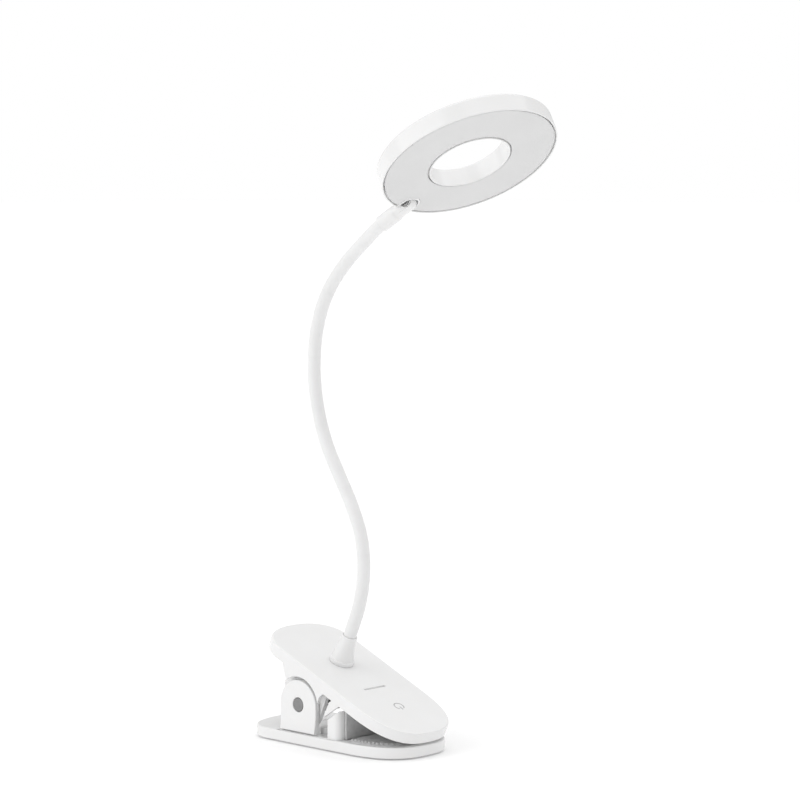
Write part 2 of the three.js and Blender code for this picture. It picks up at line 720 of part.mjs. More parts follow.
const lowerJaw = new THREE.Group();
lowerJaw.position.set(PIVOT.x, 0, PIVOT.z);
lowerJaw.add(
  lowerShell(),
  lowerCover(),
  footPad(),
  ballastPlate(),
  hingeBracket(),
  lowerGripPad(),
  mouthLiner(),
  pivotPin(),
  pinCap(),
  torsionSpring(),
);
LOWER_SCREWS.forEach(([x, y], i) => {
  lowerJaw.add(screw(`lower_screw_${i + 1}`, x, y, LOWER.foot + 0.1 - PIVOT.z, 8.2));
});

const upperJaw = new THREE.Group();
upperJaw.position.set(PIVOT.x, 0, PIVOT.z);
upperJaw.rotation.y = UPPER.tilt;
upperJaw.add(
  upperCover(),
  upperBase(),
  ...pivotBushes(),
  upperGripPad(),
  battery(),
  mainBoard(),
  chargeSocket(),
  touchSensor(),
  statusLight(),
  collar(),
  collarNut(),
);
UPPER_SCREWS.forEach(([x, y], i) => {
  upperJaw.add(screw(`upper_screw_${i + 1}`, x, y, UPPER.under + 0.05, 4.2));
});

const headAcross = HEAD_UP.clone().cross(HEAD_REACH).normalize();
const headTurn = new THREE.Matrix4().makeBasis(HEAD_REACH, headAcross, HEAD_UP);
const head = new THREE.Group();
head.position.copy(HEAD_AT);
head.quaternion.setFromRotationMatrix(headTurn);
head.add(
  headHousing(),
  ringLayer('diffuser', 0.15, 1.75, 0.12, 'diffuser'),
  ringLayer('light_guide', 2.05, 4.85, 0.4, 'clear'),
  ringLayer('reflector_sheet', 8.8, 9.1, 0.5, 'film'),
  ledBoard(),
  tiltPin(),
  ...tiltWashers(),
);

const ferrule = neckFerrule();
const aimUp = neckAim.clone().cross(headAcross).normalize();
ferrule.position.copy(knuckleAt);
ferrule.quaternion.setFromRotationMatrix(new THREE.Matrix4().makeBasis(neckAim, headAcross, aimUp));

lamp.add(lowerJaw, upperJaw, ...neckLinks(), ferrule, head);

export default lamp;
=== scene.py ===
# %% [markdown]
# # A clip-on reading lamp
#
# The lamp is a spring clamp, a bendable neck and a ring-shaped light. Its design is held in a packed
# CAD frame: the bodies, the joints and the place of every solid. This lesson builds the looks around
# that frame. Every visible casing is remade here with soft edges and true curves, because light runs
# along an edge and shows at once whether it is round or faceted. Hidden pieces keep the frame's own
# mesh and get a material.
#
# Pieces are drawn in millimetres, each in the frame that is easiest to think in, and are then placed
# in the lamp, in metres, by one matrix.

# %% Load the frame
import json
import math

import bmesh
import bpy
from mathutils import Matrix, Vector


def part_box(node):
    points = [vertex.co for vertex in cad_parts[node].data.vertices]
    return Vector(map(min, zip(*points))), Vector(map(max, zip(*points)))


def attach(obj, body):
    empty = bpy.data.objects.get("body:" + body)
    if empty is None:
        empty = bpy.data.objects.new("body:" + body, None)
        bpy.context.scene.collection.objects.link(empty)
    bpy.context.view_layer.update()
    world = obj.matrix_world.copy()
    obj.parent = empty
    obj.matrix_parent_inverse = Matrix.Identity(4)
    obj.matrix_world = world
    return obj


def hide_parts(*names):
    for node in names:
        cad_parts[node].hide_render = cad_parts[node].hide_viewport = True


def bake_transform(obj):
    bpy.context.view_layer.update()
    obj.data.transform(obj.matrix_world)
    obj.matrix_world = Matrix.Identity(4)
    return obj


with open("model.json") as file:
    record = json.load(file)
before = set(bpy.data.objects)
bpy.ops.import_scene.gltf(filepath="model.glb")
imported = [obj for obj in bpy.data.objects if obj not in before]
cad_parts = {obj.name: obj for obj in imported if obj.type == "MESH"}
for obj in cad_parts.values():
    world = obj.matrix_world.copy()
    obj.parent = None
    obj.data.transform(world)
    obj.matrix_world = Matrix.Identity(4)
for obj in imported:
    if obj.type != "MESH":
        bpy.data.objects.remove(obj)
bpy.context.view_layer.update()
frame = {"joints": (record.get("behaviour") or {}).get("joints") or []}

MM = 0.001
GAP = 0.3

# %% [markdown]
# ## Camera
#
# A real product shot of a small lamp is taken from a step away with a long lens, so that the ring and
# the clamp keep their proportions. The camera stands 1.5 m off, a little above the lamp's middle, and
# looks at the clamp's tip and near side together.

# %% Camera
CAMERA_TURN = math.radians(43.4)
CAMERA_RISE = math.radians(4.6)
CAMERA_AWAY = 1.5
CAMERA_AIM = Vector((0.0395, 0.0, 0.1958))
VIEW_WIDTH = 0.44
SENSOR = 36.0

towards_camera = Vector(
    (
        math.sin(CAMERA_TURN) * math.cos(CAMERA_RISE),
        -math.cos(CAMERA_TURN) * math.cos(CAMERA_RISE),
        math.sin(CAMERA_RISE),
    )
)
lens = bpy.data.cameras.new("camera")
lens.sensor_width = SENSOR
lens.lens = SENSOR * CAMERA_AWAY / VIEW_WIDTH
lens.clip_start = 0.05
camera = bpy.data.objects.new("camera", lens)
camera.location = CAMERA_AIM + towards_camera * CAMERA_AWAY
camera.rotation_euler = (-towards_camera).to_track_quat("-Z", "Y").to_euler()
bpy.context.scene.collection.objects.link(camera)
bpy.context.scene.camera = camera
print("lens", round(lens.lens, 1), "mm")

# %% [markdown]
# ## Floor and light
#
# A white object on white needs light from nearly everywhere, or its shadows turn grey and it looks
# dirty. The sky is an even white, and the floor is a white sweep that returns the light from below.
# Two very wide suns stand in for soft boxes: one from the left gives the forms their direction, and
# one from above lifts the tops. A sun is as strong far off as near by, so the whole sweep stays even.
# The sky lights the lamp by about a third less than it shows to the camera, and the floor's paint
# gives a little light of its own, so that white plastic still stands out from a white backdrop.

# %% Floor and light
bpy.context.scene.view_settings.view_transform = "Standard"

SKY_LIGHT = 0.66
FLOOR_SIZE = 60.0


def wide_sun(name, comes_from, strength, spread):
    data = bpy.data.lights.new(name, "SUN")
    data.energy = strength
    data.angle = math.radians(spread)
    light = bpy.data.objects.new(name, data)
    light.rotation_euler = Vector(comes_from).to_track_quat("Z", "Y").to_euler()
    bpy.context.scene.collection.objects.link(light)
    return light


def studio_sky():
    world = bpy.data.worlds.new("studio sky")
    world.use_nodes = True
    nodes = world.node_tree.nodes
    links = world.node_tree.links
    background = nodes["Background"]
    background.inputs["Color"].default_value = (1.0, 1.0, 1.0, 1.0)
    path = nodes.new("ShaderNodeLightPath")
    seen = nodes.new("ShaderNodeMapRange")
    seen.inputs["To Min"].default_value = SKY_LIGHT
    seen.inputs["To Max"].default_value = 1.0
    links.new(path.outputs["Is Camera Ray"], seen.inputs["Value"])
    links.new(seen.outputs["Result"], background.inputs["Strength"])
    bpy.context.scene.world = world


studio_sky()
wide_sun("left sun", (-0.45, -0.75, 0.48), 0.76, 60)
wide_sun("top sun", (0.1, 0.2, 1.0), 1.1, 80)

floor_mesh = bpy.data.meshes.new("floor")
half = FLOOR_SIZE / 2
corners = [(-half, -half, 0), (half, -half, 0), (half, half, 0), (-half, half, 0)]
floor_mesh.from_pydata(corners, [], [(0, 1, 2, 3)])
floor = bpy.data.objects.new("floor", floor_mesh)
bpy.context.scene.collection.objects.link(floor)

# %% [markdown]
# ## Materials: a small kit
#
# Every finish starts from the same three ideas. Two close tones, mixed by a large soft noise, keep a
# surface from looking like a flat fill. A second noise moves the roughness, which is what makes
# highlights look real. A fine third pattern goes into the bump, at the true size of the grain. All
# three read object coordinates, which are metres here, so a scale of 1000 means details of about a
# millimetre.

# %% Material helpers
def noise(tree, scale, detail=2.0, stretch=(1.0, 1.0, 1.0)):
    """A noise over object coordinates; stretch squeezes it along an axis."""
    place = tree.nodes.new("ShaderNodeTexCoord")
    mapping = tree.nodes.new("ShaderNodeMapping")
    mapping.inputs["Scale"].default_value = stretch
    texture = tree.nodes.new("ShaderNodeTexNoise")
    texture.inputs["Scale"].default_value = scale
    texture.inputs["Detail"].default_value = detail
    tree.links.new(place.outputs["Object"], mapping.inputs["Vector"])
    tree.links.new(mapping.outputs["Vector"], texture.inputs["Vector"])
    return texture.outputs["Fac"]


def cells(tree, scale, feature="F1"):
    """A pattern of small cells, for grain, dots and bubbles."""
    place = tree.nodes.new("ShaderNodeTexCoord")
    texture = tree.nodes.new("ShaderNodeTexVoronoi")
    texture.feature = feature
    texture.inputs["Scale"].default_value = scale
    tree.links.new(place.outputs["Object"], texture.inputs["Vector"])
    return texture.outputs["Distance"]


def ranged(tree, value, low, high, start=0.0, end=1.0):
    node = tree.nodes.new("ShaderNodeMapRange")
    node.inputs["From Min"].default_value = start
    node.inputs["From Max"].default_value = end
    node.inputs["To Min"].default_value = low
    node.inputs["To Max"].default_value = high
    tree.links.new(value, node.inputs["Value"])
    return node.outputs["Result"]


def toned(tree, value, dark, light):
    """Two colours mixed by a value."""
    ramp = tree.nodes.new("ShaderNodeValToRGB")
    ramp.color_ramp.elements[0].position = 0.3
    ramp.color_ramp.elements[0].color = (*dark, 1.0)
    ramp.color_ramp.elements[1].position = 0.7
    ramp.color_ramp.elements[1].color = (*light, 1.0)
    tree.links.new(value, ramp.inputs["Fac"])
    return ramp.outputs["Color"]


def bumped(tree, height, depth, strength=1.0):
    """Turns a pattern into relief; depth is in metres."""
    node = tree.nodes.new("ShaderNodeBump")
    node.inputs["Strength"].default_value = strength
    node.inputs["Distance"].default_value = depth
    tree.links.new(height, node.inputs["Height"])
    return node.outputs["Normal"]


def finish(name, dark, light, tone_scale, rough, rough_scale, metal=0.0):
    """A material with two tones and a moving roughness; returns it with its tree and shader."""
    material = bpy.data.materials.new(name)
    material.use_nodes = True
    tree = material.node_tree
    shader = tree.nodes["Principled BSDF"]
    shader.inputs["Metallic"].default_value = metal
    tree.links.new(toned(tree, noise(tree, tone_scale), dark, light), shader.inputs["Base Color"])
    tree.links.new(ranged(tree, noise(tree, rough_scale), *rough), shader.inputs["Roughness"])
    return material, tree, shader


def grey(value, warm=0.0):
    """A near-neutral colour, a touch warm or cool."""
    return (value * (1 + warm), value, value * (1 - warm))


# %% [markdown]
# ## Plastics
#
# The casings are injection-moulded in a glossy white. A polished mould still leaves a faint orange
# peel, a fraction of a millimetre across, that only shows where a highlight crosses it. The neck's
# silicone is softer and duller, with a fine powdery touch. The lit face is a milky sheet that lets
# light in and scatters it, with a matt, slightly pebbled skin that hides the LEDs.

# %% White plastic
def white_plastic(name="white_plastic", level=0.83, rough=(0.13, 0.2), peel=0.000004):
    material, tree, shader = finish(name, grey(level - 0.012, 0.003), grey(level), 60, rough, 140)
    height = noise(tree, 900, 1.0)
    tree.links.new(bumped(tree, height, peel), shader.inputs["Normal"])
    shader.inputs["Subsurface Weight"].default_value = 0.06
    shader.inputs["Subsurface Radius"].default_value = (0.0012, 0.0011, 0.001)
    shader.inputs["Subsurface Scale"].default_value = 1.0
    return material


# %% [markdown]
# The soft sleeve, the lit face and the light guide let light in. Scattering below the surface does
# that for the first two; the guide is truly clear, so it transmits.

# %% Silicone, milky sheet and clear plastic
def white_silicone():
    material, tree, shader = finish(
        "white_silicone", grey(0.80, 0.002), grey(0.825), 90, (0.40, 0.52), 300
    )
    height = noise(tree, 3200, 2.0)
    tree.links.new(bumped(tree, height, 0.000006), shader.inputs["Normal"])
    shader.inputs["Subsurface Weight"].default_value = 0.15
    shader.inputs["Subsurface Radius"].default_value = (0.002, 0.0019, 0.0018)
    shader.inputs["Subsurface Scale"].default_value = 1.0
    shader.inputs["Sheen Weight"].default_value = 0.08
    return material


def milky_sheet():
    material, tree, shader = finish(
        "milky_sheet", grey(0.665), grey(0.685), 40, (0.42, 0.5), 500
    )
    height = cells(tree, 1600, "SMOOTH_F1")
    tree.links.new(bumped(tree, height, 0.00002), shader.inputs["Normal"])
    shader.inputs["Subsurface Weight"].default_value = 0.35
    shader.inputs["Subsurface Radius"].default_value = (0.0016, 0.0016, 0.0016)
    shader.inputs["Subsurface Scale"].default_value = 1.0
    return material


def clear_plastic():
    material, tree, shader = finish(
        "clear_plastic", (0.90, 0.93, 0.94), (0.94, 0.96, 0.97), 80, (0.08, 0.14), 400
    )
    height = cells(tree, 500)
    tree.links.new(bumped(tree, height, 0.00002), shader.inputs["Normal"])
    shader.inputs["Transmission Weight"].default_value = 0.85
    return material


# %% [markdown]
# ## Rubber, metal and the rest
#
# The pads are grey moulded rubber with a stippled skin. Their grey was matched to the shaded tone inside
# the jaws' mouth, so it is partly painted shade. Steel is drawn or turned, so its noise is stretched into
# fine lines along the direction of the work: along the sheet for the ballast plate, round the axis for
# the pin. Board, foil, film and copper are only seen when the lamp is opened, and they get the same care
# at their own scale.

# %% Rubber and metals
def grey_rubber():
    # Partly painted shade: this grey was set to the tone of the shaded mouth between the jaws.
    material, tree, shader = finish("grey_rubber", grey(0.58), grey(0.64), 400, (0.62, 0.8), 900)
    height = cells(tree, 2600)
    tree.links.new(bumped(tree, height, 0.00005), shader.inputs["Normal"])
    return material


def drawn_metal(name, dark, light, rough, along):
    """A metal with fine lines; along says which way they run, as a squeeze for each axis."""
    material, tree, shader = finish(name, dark, light, 120, rough, 250, metal=1.0)
    lines = noise(tree, 2500, 2.0, along)
    tree.links.new(bumped(tree, lines, 0.000008), shader.inputs["Normal"])
    return material


def turned_steel():
    """Rings left by the lathe, about the axis of the clamp's pin."""
    material, tree, shader = finish(
        "turned_steel", grey(0.23), grey(0.27), 300, (0.30, 0.42), 700, metal=0.85
    )
    place = tree.nodes.new("ShaderNodeTexCoord")
    centre = tree.nodes.new("ShaderNodeMapping")
    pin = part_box("pivot_pin")
    middle = [(low + high) / 2 for low, high in zip(pin[0], pin[1])]
    centre.inputs["Location"].default_value = (-middle[0], 0.0, -middle[2])
    rings = tree.nodes.new("ShaderNodeTexWave")
    rings.wave_type = "RINGS"
    rings.rings_direction = "Y"
    rings.inputs["Scale"].default_value = 900
    rings.inputs["Distortion"].default_value = 0.6
    tree.links.new(place.outputs["Object"], centre.inputs["Vector"])
    tree.links.new(centre.outputs["Vector"], rings.inputs["Vector"])
    tree.links.new(bumped(tree, rings.outputs["Fac"], 0.000003), shader.inputs["Normal"])
    return material


# %% [markdown]
# These finishes are inside. They are kept simple, with a pattern at the true size of each: tracks on a
# board, creases in the battery's foil, and a matt film.

# %% Board, foil and film
def board(name, dark, light):
    """A printed board: solder mask with faint copper tracks under it."""
    material, tree, shader = finish(name, dark, light, 900, (0.3, 0.42), 600)
    place = tree.nodes.new("ShaderNodeTexCoord")
    tracks = tree.nodes.new("ShaderNodeTexBrick")
    tracks.inputs["Scale"].default_value = 260
    tracks.inputs["Mortar Size"].default_value = 0.04
    tree.links.new(place.outputs["Object"], tracks.inputs["Vector"])
    tree.links.new(bumped(tree, tracks.outputs["Fac"], 0.00003), shader.inputs["Normal"])
    return material


def crinkled_foil():
    material, tree, shader = finish(
        "crinkled_foil", grey(0.55), grey(0.66), 90, (0.28, 0.45), 200, metal=0.8
    )
    height = noise(tree, 260, 4.0)
    tree.links.new(bumped(tree, height, 0.0003), shader.inputs["Normal"])
    return material


def white_film():
    material, tree, shader = finish("white_film", grey(0.9), grey(0.94), 50, (0.55, 0.7), 300)
    height = noise(tree, 1500, 2.0)
    tree.links.new(bumped(tree, height, 0.00001), shader.inputs["Normal"])
    return material


def floor_paint():
    material, tree, shader = finish("floor_paint", grey(0.85), grey(0.87), 3, (0.55, 0.65), 20)
    tree.links.new(bumped(tree, noise(tree, 400), 0.00002), shader.inputs["Normal"])
    shader.inputs["Emission Color"].default_value = (1.0, 1.0, 1.0, 1.0)
    shader.inputs["Emission Strength"].default_value = 0.14
    return material


# %% [markdown]
# Each finish is made once, and pieces share it.

# %% The finishes in use
PLASTIC = white_plastic()
SILICONE = white_silicone()
MILKY = milky_sheet()
CLEAR = clear_plastic()
RUBBER = grey_rubber()
STEEL = drawn_metal("drawn_steel", grey(0.46), grey(0.54), (0.28, 0.4), (0.05, 1.0, 1.0))
TURNED = turned_steel()
BRASS = drawn_metal("brass", (0.62, 0.47, 0.2), (0.7, 0.54, 0.26), (0.25, 0.38), (1.0, 0.1, 1.0))
COPPER = drawn_metal("copper", (0.6, 0.3, 0.16), (0.7, 0.37, 0.22), (0.3, 0.42), (0.3, 1.0, 1.0))
GREEN_BOARD = board("green_board", (0.02, 0.12, 0.05), (0.03, 0.17, 0.07))
WHITE_BOARD = board("white_board", (0.74, 0.77, 0.74), (0.82, 0.84, 0.82))
FOIL = crinkled_foil()
FILM = white_film()
MARK = white_plastic("grey_print", 0.42, (0.4, 0.5), 0.000002)
LAMP_LENS = white_plastic("status_lens", 0.62, (0.15, 0.22), 0.000002)
floor_mesh.materials.append(floor_paint())
print("materials:", len(bpy.data.materials))

# %% [markdown]
# ## Mesh helpers
#
# Most of the casings are a flat plan or a side view, given thickness, then cut by one another, as a
# toolmaker thinks of them. So the helpers make a slab from a plan, a slab from a side view, and a
# turned piece from a profile. `carve` cuts or joins two pieces. `soften` comes last: it rounds every
# edge that is left sharp, and evens out the normals so that flat faces stay flat in the light.

# %% From bmesh to object
def to_object(name, bm):
    bmesh.ops.remove_doubles(bm, verts=bm.verts, dist=1e-4)
    bmesh.ops.recalc_face_normals(bm, faces=bm.faces)
    mesh = bpy.data.meshes.new(name)
    bm.to_mesh(mesh)
    bm.free()
    mesh.shade_smooth()
    obj = bpy.data.objects.new(name, mesh)
    bpy.context.scene.collection.objects.link(obj)
    return obj


def settle(obj):
    """The object keeps the mesh that its modifiers make, and loses the modifiers."""
    depsgraph = bpy.context.evaluated_depsgraph_get()
    done = bpy.data.meshes.new_from_object(
        obj.evaluated_get(depsgraph), preserve_all_data_layers=True, depsgraph=depsgraph
    )
    rough_mesh = obj.data
    obj.modifiers.clear()
    obj.data = done
    bpy.data.meshes.remove(rough_mesh)
    return obj


def discard(obj):
    mesh = obj.data
    bpy.data.objects.remove(obj)
    bpy.data.meshes.remove(mesh)


def carve(obj, tool, how="DIFFERENCE"):
    """Cuts, joins or intersects a piece with a tool, which is used up."""
    modifier = obj.modifiers.new("carve", "BOOLEAN")
    modifier.operation = how
    modifier.solver = "EXACT"
    modifier.object = tool
    settle(obj)
    discard(tool)
    return obj


def soften(obj, width, segments=3, angle=32.0):
    """Rounds the sharp edges; width is in the units that the piece is drawn in."""
    bm = bmesh.new()
    bm.from_mesh(obj.data)
    bmesh.ops.remove_doubles(bm, verts=bm.verts, dist=0.01)
    bmesh.ops.dissolve_degenerate(bm, edges=bm.edges, dist=0.01)
    bmesh.ops.dissolve_limit(bm, angle_limit=0.008, verts=bm.verts, edges=bm.edges)
    bm.to_mesh(obj.data)
    bm.free()
    obj.data.shade_smooth()
    bevel = obj.modifiers.new("soften", "BEVEL")
    bevel.width = width
    bevel.segments = segments
    bevel.limit_method = "ANGLE"
    bevel.angle_limit = math.radians(angle)
    bevel.use_clamp_overlap = False
    bevel.miter_outer = "MITER_ARC"
    even = obj.modifiers.new("even normals", "WEIGHTED_NORMAL")
    even.weight = 100
    even.keep_sharp = False
    return settle(obj)


def even_normals(obj):
    """Flat faces stay flat in the light after a late cut."""
    crisp(obj, 50)
    even = obj.modifiers.new("even normals", "WEIGHTED_NORMAL")
    even.weight = 100
    even.keep_sharp = True
    return settle(obj)


def crisp(obj, angle=35.0):
    """Keeps true corners sharp on a piece whose curves are already drawn."""
    obj.data.shade_smooth()
    obj.data.set_sharp_from_angle(angle=math.radians(angle))
    return obj


# %% [markdown]
# A piece is finished in one call: it moves from its drawing frame into the lamp, takes its material,
# rides on its body, and stands for the CAD node that it refines.

# %% Place and register a piece
def place(obj, where, material):
    obj.data.transform(where)
    obj.data.materials.clear()
    obj.data.materials.append(material)
    obj.data.polygons.foreach_set("material_index", [0] * len(obj.data.polygons))
    obj.data.update()
    return obj


def register(obj, where, material, body, nodes):
    place(obj, where, material)
    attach(obj, body)
    if nodes:
        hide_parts(*nodes)
    print(f"{obj.name}: {len(obj.data.polygons)} faces on {body}")
    return obj


# %% [markdown]
# The shapes that a casing is drawn with: a plan or a side view given thickness, a turned profile, and
# bars and blocks to cut with. Each closes its ends, so that a boolean has a solid to work on.

# %% Shapes
def ring_faces(bm, rings):
    for low, high in zip(rings, rings[1:]):
        for i in range(len(low)):
            j = (i + 1) % len(low)
            bm.faces.new((low[i], low[j], high[j], high[i]))


def slab(name, plan, levels):
    """A plan at a list of (height, plan) levels, or between two heights."""
    bm = bmesh.new()
    if isinstance(levels[0], (int, float)):
        levels = [(level, plan) for level in levels]
    rings = [[bm.verts.new((x, y, z)) for x, y in outline] for z, outline in levels]
    ring_faces(bm, rings)
    bm.faces.new(rings[0])
    bm.faces.new(rings[-1])
    return to_object(name, bm)


def side_slab(name, view, near, far):
    """A side view in X and Z, given thickness along Y."""
    bm = bmesh.new()
    rings = [[bm.verts.new((x, y, z)) for x, z in view] for y in (near, far)]
    ring_faces(bm, rings)
    bm.faces.new(rings[0])
    bm.faces.new(rings[-1])
    return to_object(name, bm)


def turned(name, profile, steps=96, axis="Z"):
    """A lathe piece from (radius, height) points, about Z, X or Y."""
    bm = bmesh.new()
    line = [bm.verts.new((r, 0.0, z)) for r, z in profile]
    edges = [bm.edges.new(pair) for pair in zip(line, line[1:])]
    if profile[0] == profile[-1]:
        bmesh.ops.remove_doubles(bm, verts=bm.verts, dist=1e-6)
        line, edges = list(bm.verts), list(bm.edges)
    bmesh.ops.spin(
        bm, geom=line + edges, axis=(0, 0, 1), cent=(0, 0, 0), steps=steps, angle=2 * math.pi
    )
    obj = to_object(name, bm)
    if axis == "Y":
        obj.data.transform(Matrix.Rotation(math.radians(-90), 4, "X"))
    if axis == "X":
        obj.data.transform(Matrix.Rotation(math.radians(90), 4, "Y"))
    return obj


def rod(name, x, z, radius, near, far, sides=64):
    """A round bar along Y."""
    circle = [
        (x + radius * math.cos(2 * math.pi * i / sides), z + radius * math.sin(2 * math.pi * i / sides))
        for i in range(sides)
    ]
    return side_slab(name, circle, near, far)


def post(name, x, y, radius, low, high, sides=48):
    """A round bar along Z."""
    circle = [
        (x + radius * math.cos(2 * math.pi * i / sides), y + radius * math.sin(2 * math.pi * i / sides))
        for i in range(sides)
    ]
    return slab(name, circle, (low, high))


def block(name, x, y, z):
    plan = [(x[0], y[0]), (x[1], y[0]), (x[1], y[1]), (x[0], y[1])]
    return slab(name, plan, z)


# %% [markdown]
# Outlines are short: a few corners, with the round stretches as arcs or quadratic curves, so that a
# change of size keeps its shape.

# %% Curves for outlines
def arc(cx, cy, radius, start, end, steps):
    return [
        (cx + radius * math.cos(a), cy + radius * math.sin(a))
        for a in (start + (end - start) * i / steps for i in range(steps + 1))
    ]


def bent(start, pull, end, steps=12):
    """A quadratic curve from start to end, pulled towards a third point."""
    points = []
    for i in range(steps + 1):
        t = i / steps
        a, b, c = (1 - t) ** 2, 2 * t * (1 - t), t * t
        points.append(tuple(a * p + b * q + c * r for p, q, r in zip(start, pull, end)))
    return points


def rounded(corners, steps=6):
    """An outline from (x, y, radius) corners, each turned into an arc."""
    points = []
    for i, (x, y, radius) in enumerate(corners):
        here = Vector((x, y))
        if radius == 0:
            points.append((x, y))
            continue
        back = (Vector(corners[i - 1][:2]) - here).normalized()
        on = (Vector(corners[(i + 1) % len(corners)][:2]) - here).normalized()
        half_angle = back.angle(on) / 2
        centre = here + (back + on).normalized() * (radius / math.sin(half_angle))
        first = here + back * (radius / math.tan(half_angle)) - centre
        last = here + on * (radius / math.tan(half_angle)) - centre
        start = math.atan2(first.y, first.x)
        sweep = (math.atan2(last.y, last.x) - start + math.pi) % (2 * math.pi) - math.pi
        points += arc(centre.x, centre.y, radius, start, start + sweep, steps)
    return points


def offset(outline, distance):
    """A closed, anticlockwise outline moved outwards by a distance."""
    moved = []
    for i, (x, y) in enumerate(outline):
        before = Vector(outline[i - 1])
        after = Vector(outline[(i + 1) % len(outline)])
        along = (after - before).normalized()
        moved.append((x + along.y * distance, y - along.x * distance))
    return moved


# %% [markdown]
# ## Where things are
#
# The clamp is drawn about its hinge: X runs to the tips, Z up. The lower jaw lies flat. The upper jaw
# is drawn as if it were flat too, and the tilt at which it grips is in its matrix. The hinge's place
# comes from the frame's joint, so the two can't drift apart.

# %% Drawing frames of the clamp
JOINTS = {joint["name"]: joint for joint in frame["joints"]}
HINGE = Vector(JOINTS["jaw_hinge"]["pos_m"])
JAW_TILT = math.radians(23.5)
TO_METRES = Matrix.Scale(MM, 4)
LOWER_FRAME = Matrix.Translation(HINGE) @ TO_METRES
UPPER_FRAME = Matrix.Translation(HINGE) @ Matrix.Rotation(JAW_TILT, 4, "Y") @ TO_METRES
FLOOR_Z = -HINGE.z / MM
print("hinge at", [round(v, 4) for v in HINGE], "lowest point at", round(FLOOR_Z, 2), "mm from it")

# %% [markdown]
# ## The jaws' plan
#
# Both jaws share one outline: straight flanks, a round handle end, and a tip that is squarer than a
# half circle. A superellipse gives such a tip with one number, its power: 2 is an ellipse, and larger
# is squarer. The outline is then stepped off at even lengths, so that edges and highlights flow.

# %% Jaw outline
JAW_REAR, JAW_FRONT = 45.0, 74.0
REAR_ROUND, FRONT_ROUND = 21.0, 38.0
REAR_POWER, FRONT_POWER = 2.3, 2.7
WALL = 1.8
LOWER_HALF, UPPER_HALF = 29.0, 28.4


def stepped(points, count):
    """The closed outline through these points, at even steps."""
    loop = [Vector(p) for p in points] + [Vector(points[0])]
    marks = [0.0]
    for a, b in zip(loop, loop[1:]):
        marks.append(marks[-1] + (b - a).length)
    even, at = [], 0
    for i in range(count):
        goal = marks[-1] * i / count
        while marks[at + 1] < goal:
            at += 1
        share = (goal - marks[at]) / max(marks[at + 1] - marks[at], 1e-9)
        even.append(tuple(loop[at].lerp(loop[at + 1], share)))
    return even


def jaw_plan(half_width, inset=0.0, count=256):
    """Anticlockwise, starting at the near flank under the tip."""
    points = []
    ends = ((JAW_FRONT, 1, FRONT_ROUND, FRONT_POWER), (JAW_REAR, -1, REAR_ROUND, REAR_POWER))
    for reach, side, round_length, power in ends:
        for i in range(241):
            turn = -math.pi / 2 + math.pi * i / 240
            along = abs(math.cos(turn)) ** (2 / power)
            across = math.copysign(abs(math.sin(turn)) ** (2 / power), math.sin(turn))
            x = side * (reach - round_length + (round_length - inset) * along)
            points.append((x, side * (half_width - inset) * across))
    return stepped(points, count)


def moulded(name, outline, low, high, low_round, high_round, steps=5):
    """A slab whose lower and upper edges are rounded."""
    levels = []
    for i in range(steps + 1):
        turn = math.pi / 2 * (1 - i / steps)
        edge = low_round * (1 - math.cos(turn))
        levels.append((low + low_round * (1 - math.sin(turn)), offset(outline, -edge)))
    for i in range(steps + 1):
        turn = math.pi / 2 * i / steps
        edge = high_round * (1 - math.cos(turn))
        levels.append((high - high_round * (1 - math.sin(turn)), offset(outline, -edge)))
    return slab(name, None, levels)


print("outline points:", len(jaw_plan(LOWER_HALF)))

# %% [markdown]
# ## Lower casing
#
# The lower jaw is a shallow tray, 6 mm deep, moulded open at the bottom, where a cover closes it over
# the ballast. Two seats are sunk in its top: one takes the hinge bracket, the other the grip pad. A
# loft of the outline, hollowed and pocketed, is the shortest way to it. The outer edges get their
# rounding in the loft, and `soften` only has the small edges of the pockets left to do.

# %% Lower casing
LOWER_TOP = FLOOR_Z + 7.0
LOWER_UNDER = FLOOR_Z + 0.8
LOWER_CEILING = FLOOR_Z + 4.3
BRACKET_REAR, BRACKET_FRONT = -15.5, 32.3
BRACKET_HALF, BRACKET_CORNER = 27.9, 3.5
PAD_REAR, PAD_MARGIN, PAD_SUNK = 36.0, 5.5, 1.0
GROOVE = 0.6


def bracket_plan(grow=0.0, rear=BRACKET_REAR):
    reach, front = BRACKET_HALF + grow, BRACKET_FRONT + grow
    corner = BRACKET_CORNER + grow
    corners = [(rear, -reach, 0), (front, -reach, corner), (front, reach, corner), (rear, reach, 0)]
    return rounded(corners, 12)


def pad_tool(name, half_width, spare, low, high):
    """The grip pad's own shape, or with some spare the seat that it lies in."""
    body = slab(name, jaw_plan(half_width, PAD_MARGIN - spare), (low, high))
    keep = block("keep", (PAD_REAR - spare, JAW_FRONT), (-40, 40), (low - 1, high + 1))
    return carve(body, keep, "INTERSECT")


def lower_casing():
    body = moulded("lower_casing", jaw_plan(LOWER_HALF), LOWER_UNDER, LOWER_TOP, 0.7, 0.9)
    inner = jaw_plan(LOWER_HALF, WALL)
    carve(body, slab("hollow", inner, (LOWER_UNDER - 1, LOWER_CEILING)))
    seat = bracket_plan(GROOVE, BRACKET_REAR - GROOVE)
    carve(body, slab("seat", seat, (FLOOR_Z + 5.7, LOWER_TOP + 1)))
    carve(body, pad_tool("pad_seat", LOWER_HALF, GAP, LOWER_TOP - PAD_SUNK, LOWER_TOP + 1))
    soften(body, 0.18, 2)
    return register(body, LOWER_FRAME, PLASTIC, "lower_jaw", ["lower_shell"])


lower_casing()

# %% [markdown]
# ## Hinge bracket
#
# Two round-topped ears rise flush with the jaw's flanks and carry the pin. The piece that they stand
# on drops into the tray, and at the mouth it turns up into a back stop, which keeps whatever is
# clamped from reaching the spring. The stop's top is cut on a slant, for the upper jaw closes over it.
# It is one moulding, so it is joined first and softened as a whole. A shadow line is cut last, where
# each ear meets the jaw.

